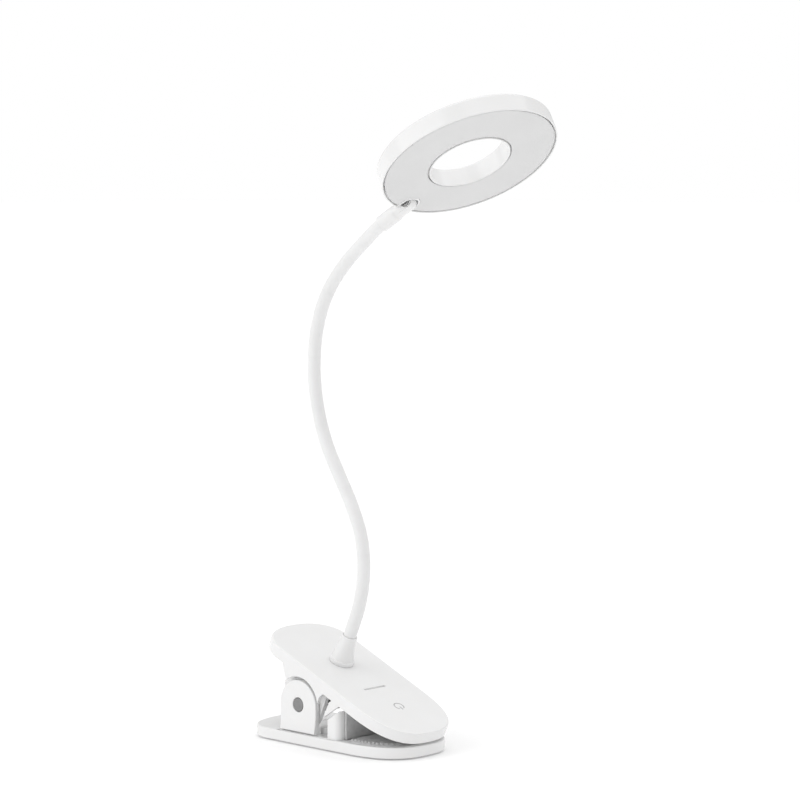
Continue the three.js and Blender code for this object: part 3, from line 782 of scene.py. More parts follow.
# %% Hinge bracket
EAR_RADIUS, EAR_INNER, EAR_OUTER = 14.0, 24.9, 27.9
PIN_RADIUS, PIN_HEAD = 2.2, 3.8
HEAD_RECESS = 1.6


def ear_view():
    """An ear from the side: round over the pin, and flared at the rear of its foot."""
    foot = LOWER_TOP - 0.5
    view = [(EAR_RADIUS - 0.8, foot), (EAR_RADIUS, -6.0)]
    view += arc(0, 0, EAR_RADIUS, 0, math.pi, 64)
    flare = bent((-EAR_RADIUS, -8.0), (-EAR_RADIUS, LOWER_TOP + 0.6), (BRACKET_REAR, LOWER_TOP))
    return view + flare + [(BRACKET_REAR, foot)]


def back_stop():
    body = slab("back_stop", bracket_plan(0, 10), (LOWER_TOP - 0.5, 6.0))
    carve(body, slab("inside", bracket_plan(-2.2, 5), (LOWER_TOP - 1, 7.0)))
    low = LOWER_TOP - 1
    slant = [(23.2, low), (BRACKET_FRONT + 1, low), (BRACKET_FRONT + 1, 1.1), (23.2, -5.3)]
    return carve(body, side_slab("slant", slant, -30, 30), "INTERSECT")


def hinge_bracket():
    body = slab("clamp_bracket", bracket_plan(), (FLOOR_Z + 6.0, LOWER_TOP))
    for side in (-1, 1):
        near, far = sorted((side * EAR_INNER, side * EAR_OUTER))
        carve(body, side_slab("ear", ear_view(), near, far), "UNION")
        carve(body, post("boss", -9.5, side * 18, 3.2, LOWER_TOP - 0.5, LOWER_TOP + 4), "UNION")
        carve(body, post("boss", 13.0, side * 18, 3.2, LOWER_TOP - 0.5, LOWER_TOP + 4), "UNION")
    carve(body, back_stop(), "UNION")
    carve(body, rod("bore", 0, 0, PIN_RADIUS + GAP, -30, 30))
    carve(body, rod("near_recess", 0, 0, PIN_HEAD + GAP, -30, -EAR_OUTER + HEAD_RECESS, 96))
    carve(body, rod("far_recess", 0, 0, PIN_HEAD + GAP, EAR_OUTER - HEAD_RECESS, 30, 96))
    soften(body, 0.45, 4)
    for side in (-1, 1):
        y = sorted((side * (EAR_OUTER - 2.0), side * (EAR_OUTER + 1)))
        carve(body, block("shadow_line", (-16, 16), y, (LOWER_TOP - 0.1, LOWER_TOP + 0.85)))
    even_normals(body)
    return register(body, LOWER_FRAME, PLASTIC, "lower_jaw", ["hinge_bracket"])


hinge_bracket()

# %% [markdown]
# ## Pin and cap
#
# The pin is turned steel with a flat head, set into the near ear, and a cap closes its far end. Both
# are lathe profiles about the hinge axis, with the small chamfers that a turner breaks every edge with.

# %% Pin and cap
def pivot_pin():
    low, shoulder, top = -EAR_OUTER + 0.1, -EAR_OUTER + 1.4, EAR_OUTER - 3.0
    profile = [(0, low + 0.06), (1.2, low + 0.05), (PIN_HEAD - 0.35, low)]
    profile += arc(PIN_HEAD - 0.3, low + 0.3, 0.3, -math.pi / 2, 0, 5)
    profile += [(PIN_HEAD, shoulder), (PIN_RADIUS, shoulder), (PIN_RADIUS, top - 0.3)]
    profile += [(PIN_RADIUS - 0.3, top), (0, top)]
    pin = crisp(turned("clamp_pin", profile, 96, "Y"))
    return register(pin, LOWER_FRAME, TURNED, "lower_jaw", ["pivot_pin"])


def pin_cap():
    low, high = EAR_OUTER - 1.4, EAR_OUTER - 0.1
    profile = [(0, low), (PIN_HEAD, low)]
    profile += arc(PIN_HEAD - 0.3, high - 0.3, 0.3, 0, math.pi / 2, 5)
    profile += [(0, high - 0.05)]
    cap = crisp(turned("clamp_pin_cap", profile, 96, "Y"))
    return register(cap, LOWER_FRAME, TURNED, "lower_jaw", ["pin_cap"])


pivot_pin()
pin_cap()

# %% [markdown]
# ## Upper casing
#
# The upper jaw's cover is a lid over the battery and the board. Seen from the side, its wall drops
# into a skirt that arches round each ear, ends in a spike in front of it, and then in a horn that
# meets the back stop. All of that is one cut: the lid's outline, drawn tall, is intersected with this
# side view, and then hollowed, so that the skirts are simply the wall carried further down.

# %% Side view of the upper casing
UPPER_UNDER, UPPER_TOP = 16.0, 22.7
SKIN = 1.5
ARCH = 16.0
SKIRT_LOW = 3.0


def casing_view():
    tail = math.atan2(8.2, -13.3)
    spike = math.atan2(8.2, 13.4)
    view = [(-60, 30), (-60, UPPER_UNDER), (-20.4, UPPER_UNDER)]
    view += bent((-19.6, UPPER_UNDER), (-17.4, 12.0), (ARCH * math.cos(tail), ARCH * math.sin(tail)))
    view += arc(0, 0, ARCH, tail, spike, 72)
    view += bent((ARCH * math.cos(spike), ARCH * math.sin(spike)), (12.2, 12.6), (15.0, UPPER_UNDER))[1:]
    view += bent((22.1, UPPER_UNDER), (19.8, 11.5), (21.2, 5.0))
    view += [(28.5, UPPER_UNDER), (90, UPPER_UNDER), (90, 30)]
    return view


# %% Upper casing
COLLAR_AT = -2.5
STATUS_AT, STATUS_LENGTH, STATUS_WIDTH = 26.3, 17.0, 1.2
INLET_HALF, INLET_LOW, INLET_HIGH, INLET_DEEP = 4.6, 17.85, 20.75, -37.5


def capsule(cx, half_length, radius, steps=12):
    """A slot's outline: long in Y, with round ends."""
    far = arc(cx, half_length - radius, radius, 0, math.pi, steps)
    near = arc(cx, radius - half_length, radius, math.pi, 2 * math.pi, steps)
    return far + near


def inlet_outline(grow):
    """The charging inlet seen from the rear, in Y and Z."""
    y, low, high = INLET_HALF + grow, INLET_LOW - grow, INLET_HIGH + grow
    radius = (high - low) / 2 - 0.02
    return rounded([(-y, low, radius), (y, low, radius), (y, high, radius), (-y, high, radius)], 10)


def inlet_block(name, grow, rear, front):
    bm = bmesh.new()
    rings = [[bm.verts.new((x, y, z)) for y, z in inlet_outline(grow)] for x in (rear, front)]
    ring_faces(bm, rings)
    bm.faces.new(rings[0])
    bm.faces.new(rings[1])
    return to_object(name, bm)


def upper_casing():
    body = moulded("upper_casing", jaw_plan(UPPER_HALF), SKIRT_LOW, UPPER_TOP, 0.2, 1.0, 6)
    carve(body, side_slab("side_view", casing_view(), -40, 40), "INTERSECT")
    inner = jaw_plan(UPPER_HALF, WALL)
    carve(body, slab("hollow", inner, (SKIRT_LOW - 3, UPPER_TOP - SKIN)))
    carve(body, post("collar_hole", COLLAR_AT, 0, 4.8, UPPER_UNDER, UPPER_TOP + 1))
    slot = capsule(STATUS_AT, STATUS_LENGTH / 2, STATUS_WIDTH / 2)
    carve(body, slab("light_slot", slot, (UPPER_UNDER, UPPER_TOP + 1)))
    carve(body, inlet_block("inlet", 0.15, -JAW_REAR - 2, INLET_DEEP))
    soften(body, 0.3, 3)
    return register(body, UPPER_FRAME, PLASTIC, "upper_jaw", ["upper_cover"])


upper_casing()

# %% [markdown]
# ## Upper floor
#
# A flat floor closes the upper jaw from below. It carries two cheeks, which turn on the pin just
# inside the ears and hide the spring, the seat of the upper grip pad, and the counterbored holes for
# the four screws.

# %% Upper floor
UPPER_SCREWS = [(-27.0, -20.0), (-27.0, 20.0), (28.0, -22.5), (28.0, 22.5)]
CHEEK_RADIUS, CHEEK_REAR = 15.0, 17.5
CHEEK_INNER, CHEEK_OUTER = 21.5, 24.2


def upper_floor():
    body = slab("jaw_floor", jaw_plan(UPPER_HALF, WALL + GAP), (UPPER_UNDER, UPPER_UNDER + 1.4))
    top = UPPER_UNDER + 0.5
    cheek = [(CHEEK_RADIUS, 0), (CHEEK_RADIUS, top), (-CHEEK_REAR, top), (-CHEEK_REAR, 3.5)]
    cheek += arc(0, 0, CHEEK_RADIUS, math.pi, 2 * math.pi, 64)[:-1]
    for side in (-1, 1):
        near, far = sorted((side * CHEEK_INNER, side * CHEEK_OUTER))
        carve(body, side_slab("cheek", cheek, near, far), "UNION")
    carve(body, rod("bore", 0, 0, 3.7, -25, 25))
    carve(body, pad_tool("pad_seat", UPPER_HALF, GAP, UPPER_UNDER - 1, UPPER_UNDER + 0.6))
    for x, y in UPPER_SCREWS:
        carve(body, post("hole", x, y, 1.1, UPPER_UNDER - 1, UPPER_UNDER + 3, 32))
        carve(body, post("counterbore", x, y, 2.1, UPPER_UNDER - 1, UPPER_UNDER + 0.8, 32))
    soften(body, 0.2, 2)
    return register(body, UPPER_FRAME, PLASTIC, "upper_jaw", ["upper_base"])


upper_floor()

# %% [markdown]
# ## Collar
#
# Where the neck enters the jaw, a tapered collar keeps it from being bent sharply. It is a lathe
# piece: a low base ring, a small step, and a hollow taper up to the neck.

# %% Collar
COLLAR_BASE, COLLAR_STEP, COLLAR_TIP, COLLAR_HEIGHT = 7.2, 6.5, 4.6, 17.0
SLEEVE_RADIUS = 3.7


def collar():
    bore = SLEEVE_RADIUS + 0.2
    profile = [(2.3, -5.0), (4.5, -5.0), (4.5, 0.1), (COLLAR_BASE - 0.2, 0.1), (COLLAR_BASE, 0.3)]
    profile += arc(COLLAR_BASE - 0.5, 1.9, 0.5, 0, math.pi / 2, 6)
    profile += [(COLLAR_STEP + 0.12, 2.45), (COLLAR_STEP, 2.7)]
    for i in range(1, 25):
        t = i / 24
        radius = COLLAR_TIP + (COLLAR_STEP - COLLAR_TIP) * (1 - t) ** 1.7
        profile.append((radius, 2.7 + (COLLAR_HEIGHT - 3.1) * t))
    profile += arc(COLLAR_TIP - 0.35, COLLAR_HEIGHT - 0.35, 0.35, 0, math.pi / 2, 5)
    profile += [(bore, COLLAR_HEIGHT), (bore, 6.5), (2.3, 6.5), (2.3, -5.0)]
    body = crisp(turned("neck_collar", profile, 128))
    body.data.transform(Matrix.Translation((COLLAR_AT, 0, UPPER_TOP)))
    return register(body, UPPER_FRAME, PLASTIC, "upper_jaw", ["collar"])


collar()

# %% [markdown]
# ## A sweep, in Geometry Nodes
#
# The neck's sleeve, its steel core and the clamp's spring are all one thing: a round section carried
# along a line. One node tree makes all three. It takes a line of points, turns it into a curve, sets
# its radius, with a ripple for the core's turns of wire, and sweeps a circle along it. Named inputs
# give each of them its sizes, so the rule is written once.

# %% Geometry Nodes helpers
def socket_in(tree, name, kind, value=None):
    socket = tree.interface.new_socket(name, in_out="INPUT", socket_type=kind)
    if value is not None:
        socket.default_value = value
    return socket


def maths(tree, operation, a, b=None):
    node = tree.nodes.new("ShaderNodeMath")
    node.operation = operation
    for index, value in enumerate((a, b)):
        if value is None:
            continue
        if isinstance(value, (int, float)):
            node.inputs[index].default_value = value
        else:
            tree.links.new(value, node.inputs[index])
    return node.outputs[0]


def closed_tree(tree, made, material):
    """Ends a tree: what it made becomes real mesh and takes its material."""
    real = tree.nodes.new("GeometryNodeRealizeInstances")
    tree.links.new(made, real.inputs["Geometry"])
    painted = tree.nodes.new("GeometryNodeSetMaterial")
    tree.links.new(real.outputs["Geometry"], painted.inputs["Geometry"])
    tree.links.new(material, painted.inputs["Material"])
    end = tree.nodes.new("NodeGroupOutput")
    tree.links.new(painted.outputs["Geometry"], end.inputs["Geometry"])
    return tree


def sweep_tree():
    tree = bpy.data.node_groups.new("sweep", "GeometryNodeTree")
    socket_in(tree, "Line", "NodeSocketGeometry")
    socket_in(tree, "Radius", "NodeSocketFloat", 0.0037)
    socket_in(tree, "Sides", "NodeSocketInt", 32)
    socket_in(tree, "Ripple", "NodeSocketFloat", 0.0)
    socket_in(tree, "Ripple Pitch", "NodeSocketFloat", 0.001)
    socket_in(tree, "Closed Ends", "NodeSocketBool", True)
    socket_in(tree, "Material", "NodeSocketMaterial")
    tree.interface.new_socket("Geometry", in_out="OUTPUT", socket_type="NodeSocketGeometry")
    nodes, links = tree.nodes, tree.links
    given = nodes.new("NodeGroupInput").outputs
    curve = nodes.new("GeometryNodeMeshToCurve")
    links.new(given["Line"], curve.inputs["Mesh"])
    along = nodes.new("GeometryNodeSplineParameter").outputs["Length"]
    turns = maths(tree, "DIVIDE", along, given["Ripple Pitch"])
    wave = maths(tree, "SINE", maths(tree, "MULTIPLY", turns, 2 * math.pi))
    share = maths(tree, "ADD", maths(tree, "MULTIPLY", wave, given["Ripple"]), 1.0)
    thick = nodes.new("GeometryNodeSetCurveRadius")
    links.new(curve.outputs["Curve"], thick.inputs["Curve"])
    links.new(share, thick.inputs["Radius"])
    circle = nodes.new("GeometryNodeCurvePrimitiveCircle")
    links.new(given["Sides"], circle.inputs["Resolution"])
    links.new(given["Radius"], circle.inputs["Radius"])
    swept = nodes.new("GeometryNodeCurveToMesh")
    links.new(thick.outputs["Curve"], swept.inputs["Curve"])
    links.new(circle.outputs["Curve"], swept.inputs["Profile Curve"])
    links.new(given["Closed Ends"], swept.inputs["Fill Caps"])
    if "Scale" in swept.inputs:
        spread = nodes.new("GeometryNodeInputRadius")
        links.new(spread.outputs["Radius"], swept.inputs["Scale"])
    return closed_tree(tree, swept.outputs["Mesh"], given["Material"])


def run_tree(obj, tree, values):
    """Puts a tree on an object, with these values for its named inputs."""
    modifier = obj.modifiers.new(tree.name, "NODES")
    modifier.node_group = tree
    inputs = [item for item in tree.interface.items_tree if item.in_out == "INPUT"]
    keys = {item.name: item.identifier for item in inputs}
    for name, value in values.items():
        modifier[keys[name]] = value


SWEEP = sweep_tree()


def swept(name, points, radius, sides, material, ripple=0.0, pitch=0.001, wall=0.0):
    """A round section along a line of points, all in metres; with a wall it is a hollow tube."""
    mesh = bpy.data.meshes.new(name)
    mesh.from_pydata(points, [(i, i + 1) for i in range(len(points) - 1)], [])
    obj = bpy.data.objects.new(name, mesh)
    bpy.context.scene.collection.objects.link(obj)
    values = {"Radius": radius, "Sides": sides, "Ripple": ripple, "Ripple Pitch": pitch}
    values.update({"Closed Ends": wall == 0, "Material": material})
    run_tree(obj, SWEEP, values)
    if wall > 0:
        hollow = obj.modifiers.new("wall", "SOLIDIFY")
        hollow.thickness = wall
        hollow.offset = -1.0
    settle(obj)
    bm = bmesh.new()
    bm.from_mesh(obj.data)
    bmesh.ops.recalc_face_normals(bm, faces=bm.faces)
    bm.to_mesh(obj.data)
    bm.free()
    return crisp(obj, 40)


print("sweep inputs:", [item.name for item in SWEEP.interface.items_tree if item.in_out == "INPUT"])

# %% [markdown]
# ## Torsion spring
#
# A coil of spring wire round the pin, with one leg pressing on each handle. Its near end belongs to
# the lower jaw and its far end to the upper one, so the mesh is blended across the hinge along the
# coil's length: as the jaws open, the turns wind up one after another, as a real spring does.

# %% Torsion spring
COIL_RADIUS, COIL_HALF, COIL_TURNS = 5.6, 7.0, 4.62
COIL_START = math.pi * 1.17
SPRING_LEG, SPRING_WIRE = 15.0, 0.8


def spring_line():
    """Leg, coil and leg, about the hinge."""
    first = (math.cos(COIL_START), math.sin(COIL_START))
    coil = []
    for i in range(221):
        turn = COIL_START + COIL_TURNS * 2 * math.pi * i / 220
        y = -COIL_HALF + 2 * COIL_HALF * i / 220
        coil.append((COIL_RADIUS * math.cos(turn), y, COIL_RADIUS * math.sin(turn)))
    end = COIL_START + COIL_TURNS * 2 * math.pi
    last = (math.cos(end), math.sin(end))
    down, up = [], []
    for i in range(12, 0, -1):
        reach = SPRING_LEG * i / 12
        x, _, z = coil[0]
        down.append((x + reach * first[1], -COIL_HALF, z - reach * first[0]))
    for i in range(1, 13):
        reach = SPRING_LEG * i / 12
        x, _, z = coil[-1]
        up.append((x - reach * last[1], COIL_HALF, z + reach * last[0]))
    return [LOWER_FRAME @ Vector(p) for p in down + coil + up]


spring = swept("coil_spring", spring_line(), SPRING_WIRE * MM, 16, STEEL)
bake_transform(spring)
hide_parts("torsion_spring")
print("spring:", len(spring.data.polygons), "faces")

# %% [markdown]
# ## The neck's line
#
# The neck runs from the collar to the knuckle behind the ring through a few listed places, which were
# set when it was bent. A centripetal Catmull-Rom curve joins them without loops or overshoot. It is
# the same curve that the frame was cut along, so the sleeve stays centred on the joints.

# %% Head frame and neck line
HEAD_AT = Vector((76.6, 16.0, 325.7))
HEAD_LOOK = Vector((0.537, -0.132, -0.833)).normalized()
HEAD_REACH = Vector((0.807, 0.176, 0.494)).normalized()
HEAD_UP = -HEAD_LOOK
HEAD_ACROSS = HEAD_UP.cross(HEAD_REACH).normalized()
KNUCKLE_FROM, KNUCKLE_UP, KNUCKLE_GRIP, NECK_LIFT = 44.5, 1.1, 17.0, 0.06
NECK_ROUTE = [
    (8.2, 0, 79), (11.5, 0, 97), (9.9, 0, 116), (2.9, 0, 133), (-7.2, 0, 150),
    (-17.6, 0, 168), (-24.8, 0, 189), (-27.4, 0, 211), (-25.0, 0.1, 233),
    (-18.0, 0.8, 252), (-6.0, 2.2, 268.5), (10.2, 4.0, 283.6),
]

knuckle = HEAD_AT - HEAD_REACH * KNUCKLE_FROM + HEAD_UP * KNUCKLE_UP
neck_aim = (HEAD_REACH + HEAD_UP * NECK_LIFT).normalized()
neck_end = knuckle - neck_aim * KNUCKLE_GRIP
tilted_up = Vector((math.sin(JAW_TILT), 0, math.cos(JAW_TILT)))
tilted_along = Vector((math.cos(JAW_TILT), 0, -math.sin(JAW_TILT)))
neck_foot = HINGE / MM + tilted_along * COLLAR_AT + tilted_up * (UPPER_TOP + 6.5)


def catmull_rom(places, samples):
    """The centripetal Catmull-Rom curve through these places."""
    ends = [places[0] * 2 - places[1]] + places + [places[-1] * 2 - places[-2]]
    line = []
    for a, b, c, d in zip(ends, ends[1:], ends[2:], ends[3:]):
        t0, t1, t2 = ((q - p).length ** 0.5 for p, q in ((a, b), (b, c), (c, d)))
        out = ((b - a) / t0 - (c - a) / (t0 + t1) + (c - b) / t1) * t1
        into = ((c - b) / t1 - (d - b) / (t1 + t2) + (d - c) / t2) * t1
        for i in range(samples):
            t = i / samples
            square = b * -3 + c * 3 - out * 2 - into
            cube = b * 2 - c * 2 + out + into
            line.append(b + out * t + square * t * t + cube * t * t * t)
    return line + [places[-1]]


def even_line(points, step):
    """The line again, in equal steps, with its length."""
    marks = [0.0]
    for a, b in zip(points, points[1:]):
        marks.append(marks[-1] + (b - a).length)
    count = round(marks[-1] / step)
    even, at = [], 0
    for i in range(count + 1):
        goal = marks[-1] * i / count
        while at < len(points) - 2 and marks[at + 1] < goal:
            at += 1
        share = (goal - marks[at]) / max(marks[at + 1] - marks[at], 1e-9)
        even.append(points[at].lerp(points[at + 1], min(share, 1.0)))
    return even, marks[-1]


places = [neck_foot, neck_foot + tilted_up * 10.5]
places += [Vector(p) for p in NECK_ROUTE]
places += [neck_end - neck_aim * 5, neck_end]
NECK_LINKS, STEPS_PER_LINK = 7, 80
rough_line = catmull_rom(places, 200)
_, neck_length = even_line(rough_line, 1.0)
neck_line, _ = even_line(rough_line, neck_length / (NECK_LINKS * STEPS_PER_LINK))
print("neck length", round(neck_length, 2), "mm; points", len(neck_line))

# %% [markdown]
# ## Sleeve and core
#
# The frame bends the neck at six hinges. A real neck bends everywhere; here the sleeve is cut half-way
# between hinges, where nothing bends, so that each piece spans one hinge. At rest the cuts fall on one
# another and can't be seen. The steel core inside is made the same way, with the ripple of its wound
# wire.

# %% Sleeve and core
CORE_RADIUS, CORE_BORE = 2.0, 2.4


def neck_piece(kind, number, radius, sides, material, slot, **more):
    """The stretch of neck across one hinge, from mid-link to mid-link."""
    first = 0 if number == 1 else round((number - 0.5) * STEPS_PER_LINK)
    last = len(neck_line) - 1 if number == NECK_LINKS - 1 else round((number + 0.5) * STEPS_PER_LINK)
    points = [p * MM for p in neck_line[first:last + 1]]
    obj = swept(f"{kind}_{number}", points, radius * MM, sides, material, **more)
    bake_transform(obj)
    stands_for = [f"neck_{kind}_{number}"]
    if number == NECK_LINKS - 1:
        stands_for.append(f"neck_{kind}_{NECK_LINKS}")
    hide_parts(*stands_for)
    return obj


for number in range(1, NECK_LINKS):
    wall = (SLEEVE_RADIUS - CORE_BORE) * MM
    neck_piece("sleeve", number, SLEEVE_RADIUS, 48, SILICONE, "silicone", wall=wall)
    neck_piece("core", number, CORE_RADIUS, 20, STEEL, "steel", ripple=0.07, pitch=1.1 * MM)

# %% [markdown]
# ## Ferrule
#
# The neck ends in a ferrule: a short sleeve, a little wider than the neck, with a rounded tip. The tip
# sits in a notch of the ring and turns on a thin pin between two washers. It is turned as one profile,
# then spot-faced on both sides for the washers, bored for the sleeve and the pin, and softened.

# %% Ferrule
KNUCKLE_RADIUS, STEM_RADIUS, BARREL_HALF, NOTCH_RADIUS = 4.2, 4.6, 3.1, 5.0
PIN_THIN, SPOT_FACE = 0.8, 2.8
SOCKET_RADIUS, SOCKET_DEPTH, FERRULE_PAST_GRIP = SLEEVE_RADIUS + 0.12, 8.0, 4.0


def basis(x_axis, y_axis, z_axis, origin):
    turn = Matrix((x_axis, y_axis, z_axis)).transposed().to_4x4()
    return Matrix.Translation(origin * MM) @ turn @ TO_METRES


aim_up = neck_aim.cross(HEAD_ACROSS).normalized()
FERRULE_FRAME = basis(neck_aim, HEAD_ACROSS, aim_up, knuckle)
HEAD_FRAME = basis(HEAD_REACH, HEAD_ACROSS, HEAD_UP, HEAD_AT)


def ferrule():
    end = KNUCKLE_GRIP + FERRULE_PAST_GRIP
    profile = arc(0, 0, KNUCKLE_RADIUS, math.pi / 2, 0, 16)
    profile += [(KNUCKLE_RADIUS, -7.5)]
    for i in range(13):
        ease = (1 - math.cos(math.pi * i / 12)) / 2
        profile.append((KNUCKLE_RADIUS + (STEM_RADIUS - KNUCKLE_RADIUS) * ease, -8 - 2.5 * i / 12))
    profile += arc(STEM_RADIUS - 0.5, 0.5 - end, 0.5, 0, -math.pi / 2, 5)[1:]
    profile += [(0, -end)]
    body = turned("neck_end_ferrule", profile, 96, "X")
    for side in (-1, 1):
        near, far = sorted((side * BARREL_HALF, side * 9))
        carve(body, rod("spot_face", 0, 0, SPOT_FACE, near, far))
    bore = [(0, 0), (SOCKET_RADIUS, 0), (SOCKET_RADIUS, -12), (0, -12)]
    mouth = turned("mouth", bore, 64, "X")
    mouth.data.transform(Matrix.Translation((SOCKET_DEPTH - end, 0, 0)))
    carve(body, mouth)
    carve(body, rod("pin_hole", 0, 0, PIN_THIN + 0.15, -9, 9, 32))
    soften(body, 0.35, 3, 38)
    return register(body, FERRULE_FRAME, PLASTIC, "neck_7", ["neck_ferrule"])


ferrule()

# %% [markdown]
# ## Ring head
#
# The head is a shallow ring shell, open towards the lit side. Its closed top, its outer wall and its
# hole wall are turned as one profile with soft edges; a slotted boss is joined on for the ferrule, and
# the notch is cut through the outer wall. Both walls thin to a lip at the rim. The lit face is a milky
# sheet, very slightly crowned, with a shadow gap between it and the lips.

# %% Head shell
RING_OUTER, RING_HOLE, RING_THICK, RING_WALL = 50.0, 22.3, 11.0, 1.5
FACE_LOW, FACE_HIGH, FACE_INNER, FACE_OUTER = 0.15, 1.75, 23.92, 48.38
NOTCH_CUT, NOTCH_ROOF, NOTCH_WALL = 6.32, 8.2, 1.2
LIP = 0.8
RIM_ROUND, TOP_ROUND, HOLE_ROUND = 0.35, 1.9, 1.2


def head_profile():
    """Half of the ring's section: hole wall, top and outer wall, anticlockwise."""
    top = RING_THICK
    line = [(RING_OUTER - LIP, 0.0), (RING_OUTER - RIM_ROUND, 0.0)]
    line += arc(RING_OUTER - RIM_ROUND, RIM_ROUND, RIM_ROUND, -math.pi / 2, 0, 4)
    line += arc(RING_OUTER - TOP_ROUND, top - TOP_ROUND, TOP_ROUND, 0, math.pi / 2, 12)
    line += arc(RING_HOLE + HOLE_ROUND, top - HOLE_ROUND, HOLE_ROUND, math.pi / 2, math.pi, 8)
    line += arc(RING_HOLE + RIM_ROUND, RIM_ROUND, RIM_ROUND, math.pi, 1.5 * math.pi, 4)
    line += [(RING_HOLE + LIP, 0.0), (RING_HOLE + LIP, 1.4), (RING_HOLE + RING_WALL, 1.6)]
    line += [(RING_HOLE + RING_WALL, top - RING_WALL), (RING_OUTER - RING_WALL, top - RING_WALL)]
    line += [(RING_OUTER - RING_WALL, 1.6), (RING_OUTER - LIP, 1.4), (RING_OUTER - LIP, 0.0)]
    return line


def notch_plan(radius, reach):
    """A slot open towards the neck, with a round inner end about the knuckle."""
    at = -KNUCKLE_FROM
    return [(at - reach, radius)] + [(at - reach, -radius)] + arc(
        at, 0, radius, -math.pi / 2, math.pi / 2, 40
    )


def head_shell():
    body = turned("head_shell", head_profile(), 192)
    boss = slab("boss", notch_plan(NOTCH_RADIUS + NOTCH_WALL, 20), (0.0, NOTCH_ROOF + 1.4))
    keep = post("keep", 0, 0, RING_OUTER - 0.6, -1, 20, 192)
    carve(boss, keep, "INTERSECT")
    carve(body, boss, "UNION")
    carve(body, slab("notch", notch_plan(NOTCH_RADIUS, 20), (-1, NOTCH_ROOF)))
    pin = rod("pin_seat", -KNUCKLE_FROM, KNUCKLE_UP, PIN_THIN + 0.08, -6.15, 6.15, 32)
    carve(body, pin)
    soften(body, 0.22, 2, 38)
    return register(body, HEAD_FRAME, PLASTIC, "head", ["head_housing"])


def lit_face():
    inner, outer, low, high = FACE_INNER, FACE_OUTER, FACE_LOW, FACE_HIGH
    profile = [(inner, high), (inner, low + 0.25)]
    for i in range(25):
        t = i / 24
        crown = 0.12 * math.sin(math.pi * t) ** 0.5
        profile.append((inner + 0.2 + (outer - inner - 0.4) * t, low + 0.12 - crown))
    profile += [(outer, low + 0.25), (outer, high), (inner, high)]
    body = turned("lit_face", profile, 192)
    carve(body, slab("notch", notch_plan(NOTCH_CUT, 20), (-1, 5)))
    crisp(body, 40)
    return register(body, HEAD_FRAME, MILKY, "head", ["diffuser"])


head_shell()
lit_face()

# %% [markdown]
# ## Grip pads
#
# Each jaw has a rubber pad with half-round ribs across it, so that it holds a shelf edge without
# marking it. The rib is one rule: a bar, repeated at a pitch along the pad. A node tree repeats it, and
# the row is then cut to the pad's own outline.

# %% Row of ribs, in Geometry Nodes
def row_tree():
    tree = bpy.data.node_groups.new("row", "GeometryNodeTree")
    socket_in(tree, "Bar", "NodeSocketGeometry")
    socket_in(tree, "Count", "NodeSocketInt", 8)
    socket_in(tree, "Step", "NodeSocketVector", (1.0, 0.0, 0.0))
    socket_in(tree, "Material", "NodeSocketMaterial")
    tree.interface.new_socket("Geometry", in_out="OUTPUT", socket_type="NodeSocketGeometry")
    nodes, links = tree.nodes, tree.links
    given = nodes.new("NodeGroupInput").outputs
    line = nodes.new("GeometryNodeMeshLine")
    links.new(given["Count"], line.inputs["Count"])
    links.new(given["Step"], line.inputs["Offset"])
    copies = nodes.new("GeometryNodeInstanceOnPoints")
    links.new(line.outputs["Mesh"], copies.inputs["Points"])
    links.new(given["Bar"], copies.inputs["Instance"])
    return closed_tree(tree, copies.outputs["Instances"], given["Material"])


ROW = row_tree()
RIB_PITCH = 2.4
LOWER_PAD_Z = (LOWER_TOP - 0.95, LOWER_TOP + 1.3)
UPPER_PAD_Z = (UPPER_UNDER - 0.9, UPPER_UNDER + 0.5)


def grip_pad(name, half, levels, face_up, where, body):
    """A base sheet with ribs on the side that grips."""
    low, high = levels
    rib = 0.9
    base = (low, high - rib) if face_up else (low + rib, high)
    plan = jaw_plan(half, PAD_MARGIN)
    pad = slab(name, plan, base)
    carve(pad, block("keep", (PAD_REAR, JAW_FRONT), (-40, 40), (low - 1, high + 1)), "INTERSECT")
    count = int((JAW_FRONT - PAD_MARGIN - PAD_REAR - 3) / RIB_PITCH)
    z = high - rib if face_up else low + rib
    side = 1 if face_up else -1
    turn = arc(PAD_REAR + 1.8, z, rib, 0, side * math.pi, 10)
    root = z - side * 0.2
    bar = side_slab("bar", turn + [(PAD_REAR + 0.9, root), (PAD_REAR + 2.7, root)], -30, 30)
    run_tree(bar, ROW, {"Count": count, "Step": (RIB_PITCH, 0.0, 0.0), "Material": RUBBER})
    settle(bar)
    inside = slab("inside", jaw_plan(half, PAD_MARGIN + 0.6), (low - 1, high + 1))
    carve(bar, inside, "INTERSECT")
    carve(pad, bar, "UNION")
    soften(pad, 0.08, 1, 40)
    return register(pad, where, RUBBER, body, [f"{name}_pad"])


grip_pad("lower_grip", LOWER_HALF, LOWER_PAD_Z, True, LOWER_FRAME, "lower_jaw")
grip_pad("upper_grip", UPPER_HALF, UPPER_PAD_Z, False, UPPER_FRAME, "upper_jaw")

# %% [markdown]
# ## Mouth liner and foot
#
# A soft grey liner covers the back stop, so that a shelf edge pushed fully home meets rubber. Its grey
# is also painted shade: it stands in for the shade that the upper jaw casts into the mouth. The foot is
# a sheet of the same rubber under the whole lower jaw. Both are plain mouldings with rounded edges.

# %% Mouth liner and foot
LINER_HALF, LINER_X, LINER_Z = 23.5, (32.6, 33.8), (-15.7, 0.3)


def mouth_liner():
    # Partly painted shade: the grey liner darkens the back stop's front face as the shade under the upper
    # jaw does.
    body = block("liner", LINER_X, (-LINER_HALF, LINER_HALF), LINER_Z)
    soften(body, 0.3, 3)
    return register(body, LOWER_FRAME, RUBBER, "lower_jaw", ["mouth_liner"])


def foot():
    body = moulded("foot", jaw_plan(LOWER_HALF, 3.0), FLOOR_Z, FLOOR_Z + 0.7, 0.3, 0.1, 3)
    crisp(body, 40)
    return register(body, LOWER_FRAME, RUBBER, "lower_jaw", ["foot_pad"])


mouth_liner()
foot()

